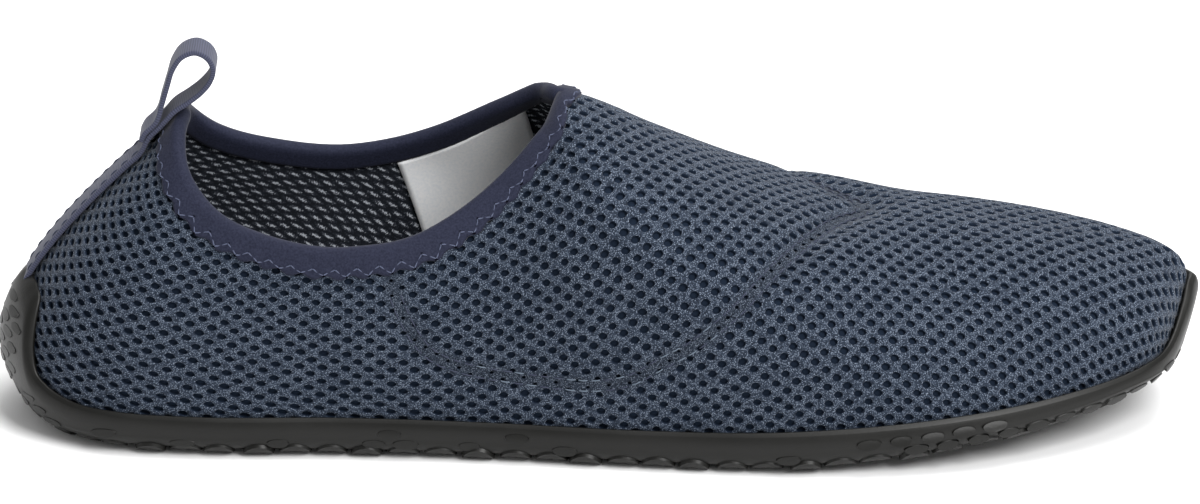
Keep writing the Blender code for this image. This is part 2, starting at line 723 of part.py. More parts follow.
def main():
    clear_scene()
    shoe = new_collection("water_shoe")
    helpers = new_collection("cutters")
    grid = ribs(RIB_STEPS)
    out = facings(grid)
    collar = collar_frame(grid, out)
    tree = surface_tree(grid)
    mesh_fabric = material("navy_mesh", (0.055, 0.070, 0.105), 0.9)
    binding_fabric = material("navy_binding", (0.040, 0.045, 0.078), 0.8)
    rubber = material("black_rubber", (0.030, 0.031, 0.032), 0.6)
    footbed = material("footbed", (0.020, 0.021, 0.024), 0.9)
    paper = material("white_label", (0.65, 0.66, 0.68), 0.7)
    paint(build_upper(shoe, grid), mesh_fabric)
    paint(build_outsole(shoe, helpers, grid, out), rubber)
    paint(build_insole(shoe, grid, out), footbed)
    paint(build_binding(shoe, collar, tree), binding_fabric)
    paint(build_pull_tape(shoe, grid, tree), binding_fabric)
    paint(build_label(shoe, collar, tree), paper)


main()
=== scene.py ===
import math
import random
from collections import namedtuple

import bmesh
import bpy
import numpy as np
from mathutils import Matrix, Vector
from mathutils.bvhtree import BVHTree


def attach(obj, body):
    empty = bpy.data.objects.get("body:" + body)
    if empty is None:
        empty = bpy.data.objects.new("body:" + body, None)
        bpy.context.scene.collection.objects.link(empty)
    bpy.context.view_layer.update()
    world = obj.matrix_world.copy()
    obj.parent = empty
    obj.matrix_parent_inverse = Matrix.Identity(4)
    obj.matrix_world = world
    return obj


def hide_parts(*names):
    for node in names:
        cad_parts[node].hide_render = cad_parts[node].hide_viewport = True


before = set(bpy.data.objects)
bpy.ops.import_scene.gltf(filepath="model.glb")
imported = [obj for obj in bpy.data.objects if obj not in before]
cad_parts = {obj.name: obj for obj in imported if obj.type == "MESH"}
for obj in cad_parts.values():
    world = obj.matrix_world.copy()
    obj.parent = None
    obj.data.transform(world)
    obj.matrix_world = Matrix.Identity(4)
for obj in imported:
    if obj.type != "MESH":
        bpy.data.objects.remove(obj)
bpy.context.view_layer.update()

BODY = "root"

# The shoe's driving sizes, in metres, as in the part's source
SOLE_LENGTH = 0.280
HEEL_WIDTH = 0.068
BALL_WIDTH = 0.096
TOE_OFFSET = 0.008
HEEL_HEIGHT = 0.0731
THROAT_HEIGHT = 0.0788
TOE_BOX_HEIGHT = 0.0394
INNER_SIDE_LIFT = 0.0085
RIM_SIDE_HEIGHT = 0.0102
RIM_HEEL_HEIGHT = 0.0345
RIM_TOE_HEIGHT = 0.0300
COLLAR_WIDTH = 0.052
TOE_SPRING = 0.0120
HEEL_ROCKER = 0.0036
ARCH_LIFT = 0.0015
FLOOR_THICKNESS = 0.0034
RIM_WALL = 0.0024
SIDE_CORNER = 0.0040
END_CORNER = 0.0120
LUG_DEPTH = 0.0016
UPPER_WALL = 0.0020
CUP_GAP = 0.0005
GAP = 0.0003
HEEL_FLAT_START = 0.09
ARCH_START, ARCH_END = 0.28, 0.56
SPRING_START = 0.63
SPRING_POWER = 1.4
THROAT = 0.545

# Knit: holes in staggered rows, with the distance between holes in a row and between rows, a
# hole's radii along and across the rows, and the depth of the face that they are cut in
HOLE_PITCH = 0.00480
ROW_PITCH = 0.00212
HOLE_RADII = (0.00099, 0.00085)
KNIT_DEPTH = 0.0011

OUTER, INNER = -1, 1
UP = np.array((0.0, 0.0, 1.0))
DENSE = 400

# Outline of the sole, as in the part's source: along is a share of the sole's length, and the
# distance from the middle line is of_heel x heel width + of_ball x ball width.
Edge = namedtuple("Edge", "along of_heel of_ball")
OUTER_EDGE = (
    Edge(0.009, 0.165, 0.000),
    Edge(0.032, 0.325, 0.000),
    Edge(0.079, 0.445, 0.000),
    Edge(0.161, 0.495, 0.000),
    Edge(0.286, 0.350, 0.108),
    Edge(0.411, 0.180, 0.255),
    Edge(0.536, 0.000, 0.430),
    Edge(0.660, 0.000, 0.464),
    Edge(0.768, 0.000, 0.446),
    Edge(0.857, 0.000, 0.380),
    Edge(0.929, 0.000, 0.275),
    Edge(0.975, 0.000, 0.155),
)
INNER_EDGE = (
    Edge(0.009, 0.165, 0.000),
    Edge(0.032, 0.325, 0.000),
    Edge(0.079, 0.440, 0.000),
    Edge(0.161, 0.480, 0.000),
    Edge(0.286, 0.300, 0.105),
    Edge(0.400, 0.160, 0.198),
    Edge(0.510, 0.000, 0.355),
    Edge(0.620, 0.000, 0.455),
    Edge(0.730, 0.000, 0.525),
    Edge(0.815, 0.000, 0.515),
    Edge(0.893, 0.000, 0.430),
    Edge(0.950, 0.000, 0.325),
    Edge(0.987, 0.000, 0.200),
)

# Ribs of the upper, as in the part's source: foot is how far round the sole edge the rib
# stands, along, across and skew place its top, heel, throat, toe and lift give its height, and
# low, belly, high and slope give its curve.
Rib = namedtuple("Rib", "foot along across skew heel throat toe lift low belly high slope")
RIBS = (
    Rib(0.000, 0.153, 0.00, 0.00, 1.00, 0.00, 0.00, 0.0, 0.34, 0.235, 0.24, 51),
    Rib(0.050, 0.150, 0.30, 0.00, 0.97, 0.00, 0.00, 0.2, 0.34, 0.185, 0.26, 56),
    Rib(0.100, 0.155, 0.58, 0.00, 0.89, 0.00, 0.00, 0.4, 0.36, 0.100, 0.30, 60),
    Rib(0.160, 0.178, 0.79, 0.00, 0.72, 0.05, 0.00, 0.6, 0.40, 0.065, 0.30, 68),
    Rib(0.240, 0.222, 0.93, 0.00, 0.52, 0.16, 0.00, 0.7, 0.42, 0.045, 0.31, 74),
    Rib(0.340, 0.296, 0.98, 0.00, 0.32, 0.31, 0.00, 0.8, 0.42, 0.040, 0.32, 73),
    Rib(0.420, 0.364, 0.87, 0.00, 0.16, 0.51, 0.00, 1.0, 0.42, 0.040, 0.34, 62),
    Rib(0.475, 0.418, 0.63, 0.00, 0.06, 0.73, 0.00, 0.9, 0.42, 0.045, 0.38, 46),
    Rib(0.515, 0.455, 0.34, 0.03, 0.02, 0.90, 0.00, 0.5, 0.43, 0.050, 0.42, 30),
    Rib(0.545, 0.470, 0.00, 0.08, 0.00, 1.00, 0.00, 0.0, 0.44, 0.050, 0.42, 18),
    Rib(0.575, 0.492, 0.00, 0.15, 0.00, 0.97, 0.00, 0.0, 0.45, 0.050, 0.42, 10),
    Rib(0.630, 0.545, 0.00, 0.30, 0.00, 0.765, 0.20, 0.0, 0.46, 0.045, 0.43, 5),
    Rib(0.700, 0.630, 0.00, 0.50, 0.00, 0.43, 0.575, 0.0, 0.46, 0.045, 0.44, 2),
    Rib(0.780, 0.722, 0.00, 0.75, 0.00, 0.13, 0.96, 0.0, 0.48, 0.045, 0.45, 0),
    Rib(0.830, 0.770, 0.00, 0.90, 0.00, 0.06, 1.07, 0.0, 0.50, 0.045, 0.46, 1),
    Rib(0.890, 0.830, 0.00, 1.00, 0.00, 0.02, 1.10, 0.0, 0.52, 0.045, 0.52, 4),
    Rib(0.950, 0.895, 0.00, 1.00, 0.00, 0.00, 1.07, 0.0, 0.54, 0.054, 0.64, 8),
    Rib(1.000, 0.938, 0.00, 1.00, 0.00, 0.00, 1.01, 0.0, 0.55, 0.060, 0.72, 10),
)

# Rubber rim round the sole edge: the shares of the heel cup's and the toe cup's extra height,
# and how round the bottom corner is. As in the part's source, except that from 0.940 to 0.983
# the toe cup climbs sooner.
Rim = namedtuple("Rim", "foot cup_heel cup_toe end")
RIM = (
    Rim(0.000, 1.00, 0.00, 0.85),
    Rim(0.030, 0.97, 0.00, 0.85),
    Rim(0.045, 0.87, 0.00, 0.80),
    Rim(0.053, 0.68, 0.00, 0.75),
    Rim(0.061, 0.44, 0.00, 0.70),
    Rim(0.068, 0.27, 0.00, 0.65),
    Rim(0.080, 0.16, 0.00, 0.58),
    Rim(0.100, 0.07, 0.00, 0.48),
    Rim(0.140, 0.02, 0.00, 0.25),
    Rim(0.200, 0.00, 0.00, 0.05),
    Rim(0.300, 0.00, 0.00, 0.00),
    Rim(0.620, 0.00, 0.03, 0.00),
    Rim(0.730, 0.00, 0.14, 0.05),
    Rim(0.830, 0.00, 0.26, 0.22),
    Rim(0.900, 0.00, 0.36, 0.42),
    Rim(0.940, 0.00, 0.48, 0.55),
    Rim(0.965, 0.00, 0.73, 0.65),
    Rim(0.983, 0.00, 0.94, 0.67),
    Rim(1.000, 0.00, 1.00, 0.68),
)


def smooth(xs, ys, at):
    """Values at the places `at` of a smooth curve through the points (xs, ys)."""
    xs, ys, at = np.asarray(xs, float), np.asarray(ys, float), np.asarray(at, float)
    slopes = np.gradient(ys, xs, axis=0)
    k = np.clip(np.searchsorted(xs, at, side="right") - 1, 0, len(xs) - 2)
    step = xs[k + 1] - xs[k]
    t = (at - xs[k]) / step
    if ys.ndim > 1:
        step, t = step[..., None], t[..., None]
    h00, h10 = (1 + 2 * t) * (1 - t) ** 2, t * (1 - t) ** 2
    h01, h11 = t * t * (3 - 2 * t), t * t * (t - 1)
    return h00 * ys[k] + h10 * step * slopes[k] + h01 * ys[k + 1] + h11 * step * slopes[k + 1]


def column(rows, name, at):
    """One named column of a table, read smoothly at the places `at` of its foot column."""
    return smooth([r.foot for r in rows], [getattr(r, name) for r in rows], at)


def travel_along(line):
    """Distance of each point of a line from its start, along the line."""
    return np.concatenate(([0.0], np.cumsum(np.linalg.norm(np.diff(line, axis=0), axis=1))))


def read_line(at, travel, points):
    """The points of a line at the places `at` of its travel."""
    return np.stack([np.interp(at, travel, values) for values in points.T], axis=-1)


def unit(vectors):
    return vectors / np.linalg.norm(vectors, axis=-1, keepdims=True)


def half_outlines():
    """The sole's outline as two dense lines from the heel to the toe, one for each side."""
    ends = {}
    for side, rows in ((OUTER, OUTER_EDGE), (INNER, INNER_EDGE)):
        ends[side] = [
            (r.along * SOLE_LENGTH, side * (r.of_heel * HEEL_WIDTH + r.of_ball * BALL_WIDTH))
            for r in rows
        ]
    loop = np.array([(0.0, 0.0), *ends[OUTER], (SOLE_LENGTH, TOE_OFFSET), *ends[INNER][::-1]])
    wrap = 3
    around = np.vstack((loop[-wrap:], loop, loop[:wrap + 1]))
    steps = np.sqrt(np.linalg.norm(np.diff(around, axis=0), axis=1))
    travel = np.concatenate(([0.0], np.cumsum(steps)))
    start, middle = travel[wrap], travel[wrap + 1 + len(OUTER_EDGE)]
    end = travel[wrap + len(loop)]
    return {
        OUTER: smooth(travel, around, np.linspace(start, middle, DENSE)),
        INNER: smooth(travel, around, np.linspace(end, middle, DENSE)),
    }


OUTLINES = half_outlines()
MIDDLE_Y = (OUTLINES[INNER][:, 1].max() + OUTLINES[OUTER][:, 1].min()) / 2
MIDDLE = np.array((SOLE_LENGTH / 2, MIDDLE_Y, 0.0))


def side_outline(side, share):
    """Points of one side's outline and their outward directions, at shares of the way round."""
    line = OUTLINES[side]
    travel = travel_along(line)
    travel /= travel[-1]
    along = np.gradient(line, travel, axis=0)
    out = unit(side * np.stack((-along[:, 1], along[:, 0]), axis=1))
    out[0], out[-1] = (-1.0, 0.0), (1.0, 0.0)
    place = np.stack([smooth(travel, line[:, k], share) for k in (0, 1)], axis=-1)
    facing = unit(np.stack([smooth(travel, out[:, k], share) for k in (0, 1)], axis=-1))
    zeros = np.zeros(place.shape[:-1] + (1,))
    return np.concatenate((place, zeros), -1), np.concatenate((facing, zeros), -1)


def share_of(station):
    """A station counts 0 at the heel, 1 at the toe and 2 at the heel again, outer side first."""
    station = np.mod(station, 2.0)
    return np.where(station <= 1, station, 2 - station), np.where(station <= 1, OUTER, INNER)


def outline_at(station):
    share, side = share_of(station)
    outer, inner = side_outline(OUTER, share), side_outline(INNER, share)
    pick = (side == OUTER)[..., None]
    return tuple(np.where(pick, a, b) for a, b in zip(outer, inner))


def rise(points):
    """How far the sole's bottom lies above its flat spots: heel rocker, arch and toe spring."""
    along = points[..., 0] / SOLE_LENGTH
    heel = np.clip((HEEL_FLAT_START - along) / HEEL_FLAT_START, 0, 1) ** 2
    toe = np.clip((along - SPRING_START) / (1 - SPRING_START), 0, 1) ** SPRING_POWER
    waist = np.clip((along - ARCH_START) / (ARCH_END - ARCH_START), 0, 1)
    inner = np.clip(points[..., 1] / (HEEL_WIDTH / 2), 0, 1)
    return HEEL_ROCKER * heel + TOE_SPRING * toe + ARCH_LIFT * inner * np.sin(np.pi * waist) ** 2


def corner_radius(station):
    """Radius of the rubber's bottom corner."""
    return SIDE_CORNER + (END_CORNER - SIDE_CORNER) * column(RIM, "end", share_of(station)[0])


def corner_inset(corner, height):
    """How far inside the outline the rounded corner is, at a height above its base."""
    reach = np.clip(corner - height, 0, corner)
    return corner - np.sqrt(corner**2 - reach**2)


def floor_height(station):
    """Height of the top of the sole's floor at its edge."""
    edge, out = outline_at(station)
    return LUG_DEPTH + FLOOR_THICKNESS + rise(edge - out * corner_radius(station)[..., None])


def rim_height(station):
    share = share_of(station)[0]
    return (
        RIM_SIDE_HEIGHT
        + (RIM_HEEL_HEIGHT - RIM_SIDE_HEIGHT) * column(RIM, "cup_heel", share)
        + (RIM_TOE_HEIGHT - RIM_SIDE_HEIGHT) * column(RIM, "cup_toe", share)
    )


# Over the vamp the two sides' ribs meet at a ridge, which is rounded off over this width. The
# rounding starts this share of the way behind the throat and is full after the second share.
RIDGE_ROUND = 0.0045
RIDGE_START, RIDGE_BLEND = 0.04, 0.05


def skin(station, level):
    """Points of the upper's outer face, without relief: level is 0 at the foot and 1 on top."""
    station, level = np.broadcast_arrays(np.asarray(station, float), np.asarray(level, float))
    share, side = share_of(station)
    read = {name: column(RIBS, name, share) for name in Rib._fields[1:]}
    on_vamp = share > THROAT - 1e-6
    across = np.where(on_vamp, 0.0, read["across"]) * COLLAR_WIDTH / 2
    height = (
        read["heel"] * HEEL_HEIGHT
        + read["throat"] * THROAT_HEIGHT
        + read["toe"] * TOE_BOX_HEIGHT
        + np.where((side == INNER) & ~on_vamp, read["lift"], 0.0) * INNER_SIDE_LIFT
    )
    top = np.stack(
        (read["along"] * SOLE_LENGTH, side * across + read["skew"] * TOE_OFFSET, height), axis=-1
    )
    edge, out = outline_at(station)
    inset = corner_inset(corner_radius(station), FLOOR_THICKNESS) + RIM_WALL + CUP_GAP
    foot = edge - out * inset[..., None] + UP * (floor_height(station) + GAP)[..., None]
    rib_height = top[..., 2] - foot[..., 2]
    span = np.linalg.norm(top - foot, axis=-1)
    fall = np.radians(read["slope"])
    lower = foot + UP * (read["low"] * rib_height)[..., None]
    lower = lower + out * (read["belly"] * HEEL_WIDTH)[..., None]
    lean = out * np.cos(fall)[..., None] - UP * np.sin(fall)[..., None]
    upper = top + lean * (read["high"] * span)[..., None]
    t = level[..., None]
    points = foot * (1 - t) ** 3 + 3 * lower * t * (1 - t) ** 2 + 3 * upper * t * t * (1 - t)
    points = points + top * t**3
    away = np.linalg.norm((points - top)[..., :2], axis=-1)
    vamp = np.clip((share - THROAT + RIDGE_START) / RIDGE_BLEND, 0, 1)
    points[..., 2] -= vamp * np.tan(fall) * (np.hypot(away, RIDGE_ROUND) - away)
    return points - MIDDLE


def skin_facing(station, level):
    """Outward direction of the skin."""
    step = 1e-3
    low, high = np.clip(level - step, 0, 1), np.clip(level + step, 0, 1)
    along = skin(station + step, level) - skin(station - step, level)
    return unit(np.cross(along, skin(station, high) - skin(station, low)))


def piece_from(name, bm, finishes, node, smooth_faces=True):
    """A finished piece: its mesh, its materials, the CAD node that it stands for and its body."""
    mesh = bpy.data.meshes.new(name)
    bm.to_mesh(mesh)
    bm.free()
    if smooth_faces:
        mesh.shade_smooth()
    for finish in finishes:
        mesh.materials.append(finish)
    piece = bpy.data.objects.new(name, mesh)
    bpy.context.scene.collection.objects.link(piece)
    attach(piece, BODY)
    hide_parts(node)
    return piece


def place_all(bm, points):
    for vert, point in zip(bm.verts, points):
        vert.co = point


def points_of(bm):
    return np.array([v.co[:] for v in bm.verts])


def grid_sheet(columns, rows):
    """A grid in a bmesh, with the column and row share, 0 to 1, of every vertex."""
    bm = bmesh.new()
    bmesh.ops.create_grid(bm, x_segments=columns, y_segments=rows, size=1.0)
    shares = np.array([(v.co.x, v.co.y) for v in bm.verts]) / 2 + 0.5
    return bm, shares[:, 0], shares[:, 1]


# The reinforcement sewn behind the knit: the line of its double stitching on each side, from
# the collar down, forward and up over the vamp. It pulls a soft trough into the knit.
Stitch = namedtuple("Stitch", "station level depth width")
SEAM = (
    Stitch(0.379, 0.90, 0.00020, 0.0032),
    Stitch(0.377, 0.70, 0.00030, 0.0032),
    Stitch(0.382, 0.46, 0.00045, 0.0032),
    Stitch(0.403, 0.35, 0.00055, 0.0030),
    Stitch(0.449, 0.26, 0.00060, 0.0028),
    Stitch(0.495, 0.20, 0.00060, 0.0028),
    Stitch(0.533, 0.21, 0.00065, 0.0028),
    Stitch(0.579, 0.28, 0.00090, 0.0030),
    Stitch(0.635, 0.43, 0.00130, 0.0034),
    Stitch(0.697, 0.66, 0.00180, 0.0040),
    Stitch(0.750, 0.88, 0.00190, 0.0044),
    Stitch(0.771, 0.95, 0.00180, 0.0044),
    Stitch(0.778, 1.00, 0.00160, 0.0044),
)


SEAM_STEPS = 90


def seam_lines():
    """Dense places along the seam, the outer side first, and the trough's depth and width there."""
    line = smooth(range(len(SEAM)), np.array(SEAM), np.linspace(0, len(SEAM) - 1, SEAM_STEPS))
    station = np.concatenate((line[:, 0], 2 - line[:, 0]))
    level = np.clip(np.tile(line[:, 1], 2), 0, 1)
    return station, level, np.tile(line[:, 2], 2), np.tile(line[:, 3], 2)


SEAM_STATION, SEAM_LEVEL, SEAM_DEPTH, SEAM_WIDTH = seam_lines()
SEAM_POINTS = skin(SEAM_STATION, SEAM_LEVEL)


# In front of the seam the toe box puffs up again: how much, and over what distance
PUFF, PUFF_REACH = 0.0009, 0.0100
# How far from the seam's line the holes are drawn shut, and the knit's colour darkened as painted
# shade
PRESS_REACH = 0.0022
# So many points at a time are compared with the seam's, to save memory
POINTS_AT_ONCE = 20000


def near_seam(points):
    """Nearness to the seam, 1 on it, and the depth there of the trough, less the puff ahead."""
    nearness, trough = np.zeros(len(points)), np.zeros(len(points))
    for start in range(0, len(points), POINTS_AT_ONCE):
        batch = slice(start, start + POINTS_AT_ONCE)
        part = points[batch]
        gap = np.linalg.norm(part[:, None] - SEAM_POINTS[None], axis=2)
        k = gap.argmin(axis=1)
        away = gap[np.arange(len(part)), k]
        near = np.exp(-(away / SEAM_WIDTH[k]) ** 2)
        nearness[batch] = np.exp(-(away / PRESS_REACH) ** 4)
        ahead = np.clip((part[:, 0] - SEAM_POINTS[k, 0]) / SEAM_WIDTH[k], 0, 1)
        puff = PUFF * ahead * np.exp(-((away / PUFF_REACH - 1) ** 2))
        trough[batch] = near * SEAM_DEPTH[k] - puff * SEAM_DEPTH[k] / SEAM_DEPTH.max()
    return nearness, trough


# How the knit's rows run over the last, in degrees below the level: the slope of the vamp's
# ridge, and the fall of the rows on the outer side, which shows how far the cloth is turned on
# the last. Then its stretch along and across the rows.
Grain = namedtuple("Grain", "share slope fall along across")
GRAIN = (
    Grain(0.00, 17.0, 14.0, 1.04, 0.82),
    Grain(0.08, 17.0, 14.0, 1.05, 0.80),
    Grain(0.13, 17.0, 13.0, 1.05, 0.79),
    Grain(0.17, 17.0, 11.0, 1.06, 0.79),
    Grain(0.22, 17.0, 8.0, 1.08, 0.79),
    Grain(0.28, 17.0, 4.0, 1.09, 0.78),
    Grain(0.35, 17.0, 0.0, 1.08, 0.80),
    Grain(0.42, 17.0, -7.0, 1.02, 0.92),
    Grain(0.50, 17.0, -8.0, 1.03, 0.97),
    Grain(0.60, 16.0, -7.0, 1.05, 0.93),
    Grain(0.68, 14.0, -5.0, 1.07, 0.89),
    Grain(0.75, 9.0, -1.0, 1.08, 0.88),
    Grain(0.82, 8.0, 4.0, 1.07, 0.90),
    Grain(0.90, 14.0, 15.0, 1.04, 0.92),
    Grain(0.94, 24.0, 24.0, 1.00, 0.92),
    Grain(1.00, 32.0, 31.0, 0.98, 0.92),
)
# Between these shares of the way from the heel the run of the rows, before its slope is added,
# turns from level along the skin to straight ahead
GRAIN_TURN = (0.12, 0.32)
CLOTH_COLUMNS, CLOTH_ROWS = 160, 20
SKIN_COLUMNS, SKIN_ROWS = 240, 36
# A side's flat cloth goes on over the other side this far ahead of the throat, and over the
# vamp above this level
CLOTH_AHEAD, CLOTH_OVER = 0.03, 0.8
Pattern = namedtuple("Pattern", "tree flat places")


def grain_at(station, facing):
    """Directions along and across the knit's rows in the skin, each divided by its stretch."""
    share = share_of(station)[0]
    slope, fall, along, across = (
        np.interp(share, *zip(*((row.share, getattr(row, name)) for row in GRAIN)))
        for name in Grain._fields[1:]
    )
    side = np.where(station < 1, 1.0, -1.0)
    level_run = np.stack((-facing[..., 1], facing[..., 0], 0 * side), axis=-1) * side[..., None]
    level_run /= np.maximum(np.linalg.norm(level_run, axis=-1, keepdims=True), GAP)
    forward = np.clip((share - GRAIN_TURN[0]) / (GRAIN_TURN[1] - GRAIN_TURN[0]), 0, 1)[..., None]
    run = unit(level_run * (1 - forward) + np.array((1.0, 0.0, 0.0)) * forward)
    tilt, turn = np.radians(slope)[..., None], np.radians(slope - fall)[..., None]
    run = run * np.cos(tilt) - UP * np.sin(tilt)
    run = unit(run - facing * (run * facing).sum(axis=-1, keepdims=True))
    run = run * np.cos(turn) + np.cross(facing, run) * np.sin(turn)
    return run / along[..., None], np.cross(facing, run) / across[..., None]


def lay_cloth():
    """The place in the flat cloth, in metres, of a grid of points of the skin. Along each edge
    and diagonal of the grid it follows the grain as well as one sheet can."""
    columns = np.linspace(0, 2, CLOTH_COLUMNS + 1)
    station, level = np.meshgrid(columns, np.linspace(0, 1, CLOTH_ROWS + 1), indexing="ij")
    points, facing = skin(station, level), skin_facing(station, level)
    number = np.arange(station.size).reshape(station.shape)
    vamp = share_of(station)[0][:, -1] > THROAT
    inner = np.nonzero(vamp & (columns > 1))[0]
    number[inner, -1] = number[CLOTH_COLUMNS - inner, -1]
    matrix = np.zeros((station.size, station.size))
    target = np.zeros((station.size, 2))
    directions = grain_at(station, facing)
    pairs = (
        (np.s_[:-1], np.s_[1:]),
        (np.s_[:, :-1], np.s_[:, 1:]),
        (np.s_[:-1, :-1], np.s_[1:, 1:]),
        (np.s_[:-1, 1:], np.s_[1:, :-1]),
    )
    for first, second in pairs:
        step = points[second] - points[first]
        i, j = number[first].ravel(), number[second].ravel()
        for ends, sign in (((i, i), 1), ((j, j), 1), ((i, j), -1), ((j, i), -1)):
            np.add.at(matrix, ends, sign)
        for k, direction in enumerate(directions):
            run = ((direction[first] + direction[second]) / 2 * step).sum(axis=-1).ravel()
            np.add.at(target[:, k], i, -run)
            np.add.at(target[:, k], j, run)
    unused = np.nonzero(matrix.diagonal() == 0)[0]
    matrix[unused, unused] = 1
    matrix[0, 0] += 1
    cloth = np.linalg.solve(matrix, target)[number]
    return cloth - cloth[np.nonzero(vamp)[0][0], -1]


def make_pattern(grid, side):
    """One side of the flat cloth, and what lies next to it over the vamp and the toe, with the
    search tree that finds a flat point's station and level."""
    columns = np.linspace(0, 2, CLOTH_COLUMNS + 1)
    rows = np.linspace(0, 1, CLOTH_ROWS + 1)
    places = np.stack(np.meshgrid(columns, rows, indexing="ij"), axis=-1)

    def triangles(values):
        a, b, c, d = values[:-1, :-1], values[1:, :-1], values[1:, 1:], values[:-1, 1:]
        halves = np.stack((a, b, c), axis=-2), np.stack((a, c, d), axis=-2)
        return np.concatenate([half.reshape(-1, 3, 2) for half in halves])

    flat, known = triangles(grid), triangles(places)
    share, own = share_of(known[..., 0].mean(axis=1))
    level = known[..., 1].mean(axis=1)
    over = (share > THROAT) & (level > CLOTH_OVER)
    near = (own == side) | (share > THROAT + CLOTH_AHEAD) | over
    flat, known = flat[near], known[near]
    verts = [(x, y, 0.0) for x, y in flat.reshape(-1, 2)]
    faces = [(3 * k, 3 * k + 1, 3 * k + 2) for k in range(len(flat))]
    return Pattern(BVHTree.FromPolygons(verts, faces), flat, known)


def cloth_at(grid, station, level):
    """The flat place of points of the skin."""
    x, y = station / 2 * CLOTH_COLUMNS, level * CLOTH_ROWS
    i = np.clip(np.floor(x).astype(int), 0, CLOTH_COLUMNS - 1)
    j = np.clip(np.floor(y).astype(int), 0, CLOTH_ROWS - 1)
    s, t = (x - i)[..., None], (y - j)[..., None]
    low = grid[i, j] * (1 - s) + grid[i + 1, j] * s
    return low * (1 - t) + (grid[i, j + 1] * (1 - s) + grid[i + 1, j + 1] * s) * t


def skin_mesh(grid):
    """The upper's skin as one sheet, open at the back seam and joined over the vamp's ridge."""
    bm, across, up = grid_sheet(SKIN_COLUMNS, SKIN_ROWS)
    flat = cloth_at(grid, across * 2, up)
    set_cloth(bm, flat)
    place_all(bm, skin(across * 2, up))
    share = share_of(across * 2)[0]
    ridge = [v for v, s, u in zip(bm.verts, share, up) if u > 0.999 and s > THROAT - 0.001]
    bmesh.ops.remove_doubles(bm, verts=ridge, dist=GAP / 10)
    return bm


def set_cloth(bm, flat):
    """Keeps each vertex's place in the flat cloth as a UV map."""
    cloth = bm.loops.layers.uv.new("cloth")
    bm.verts.index_update()
    for face in bm.faces:
        for loop in face.loops:
            loop[cloth].uv = flat[loop.vert.index]


def find_places(pattern, flat):
    """The station and level of flat points, and how far each lies off the pattern."""
    faces, off, near = [], [], []
    for x, y in flat:
        spot, normal, face, distance = pattern.tree.find_nearest((x, y, 0.0))
        faces.append(face)
        off.append(distance)
        near.append(spot[:2])
    a, b, c = (pattern.flat[faces][:, k] for k in range(3))
    spot, ab, ac = np.array(near) - a, b - a, c - a
    area = ab[:, 0] * ac[:, 1] - ab[:, 1] * ac[:, 0]
    v = (spot[:, 0] * ac[:, 1] - spot[:, 1] * ac[:, 0]) / area
    w = (ab[:, 0] * spot[:, 1] - ab[:, 1] * spot[:, 0]) / area
    first, second, third = (pattern.places[faces][:, k] for k in range(3))
    places = first * (1 - v - w)[:, None] + second * v[:, None] + third * w[:, None]
    return places[:, 0], np.clip(places[:, 1], 0, 1), np.array(off)


COLLAR_STEPS = 180


def collar_ring():
    """The collar's edge: a ring of stations round it and the points there."""
    outer = np.linspace(0, THROAT, COLLAR_STEPS)
    stations = np.concatenate((outer, 2 - outer[-2:0:-1]))
    return stations, skin(stations, np.ones(len(stations)))


# Knit cells: how deep each ring of a hole lies and its size as a share of the hole's radii
Ring = namedtuple("Ring", "size depth")
HOLE_RINGS = (
    Ring(1.22, 0.00004),
    Ring(1.05, 0.00022),
    Ring(1.00, 0.00105),
)
# The cells run on this far below the rubber's rim, and stop this far short of the collar's
# edge, under the binding, which is looked for above this level
RIM_COVER = 0.0035
BINDING_COVER = 0.0028
NEAR_COLLAR = 0.4
# Holes differ a little, and at the seam they are narrower and shallower by these shares
HOLE_UNEVEN = (0.94, 1.06)
PRESS_NARROWS, PRESS_FLATTENS = 0.55, 0.75


def knit_cells(pattern, side):
    """A flat lattice of diamond cells, one for each hole, kept where the knit shows."""
    reach = np.abs(pattern.flat.reshape(-1, 2)).max(axis=0)
    count = 2 * math.ceil(reach[0] / HOLE_PITCH + reach[1] / (2 * ROW_PITCH))
    bm = bmesh.new()
    bmesh.ops.create_grid(bm, x_segments=count, y_segments=count, size=count / 2)
    for vert in bm.verts:
        a, b = vert.co.x, vert.co.y
        vert.co = ((a + b) * HOLE_PITCH / 2, (a - b) * ROW_PITCH, 0)
    faces = list(bm.faces)
    middles = np.array([f.calc_center_median()[:2] for f in faces])
    station, level, off = find_places(pattern, middles)
    points = skin(station, level)
    collar = collar_ring()[1]
    to_collar = np.full(len(points), 1.0)
    near_top = np.nonzero((off < GAP) & (level > NEAR_COLLAR))[0]
    gaps = np.linalg.norm(points[near_top][:, None] - collar[None], axis=2)
    to_collar[near_top] = gaps.min(axis=1)
    shown = (off < GAP) & (points[:, 2] > rim_height(station) - RIM_COVER)
    shown &= (to_collar > BINDING_COVER) & ((station <= 1) == (side == OUTER))
    bmesh.ops.delete(bm, geom=[f for f, keep in zip(faces, shown) if not keep], context="FACES")
    if sum(f.normal.z for f in bm.faces) < 0:
        bmesh.ops.reverse_faces(bm, faces=bm.faces)
    return bm


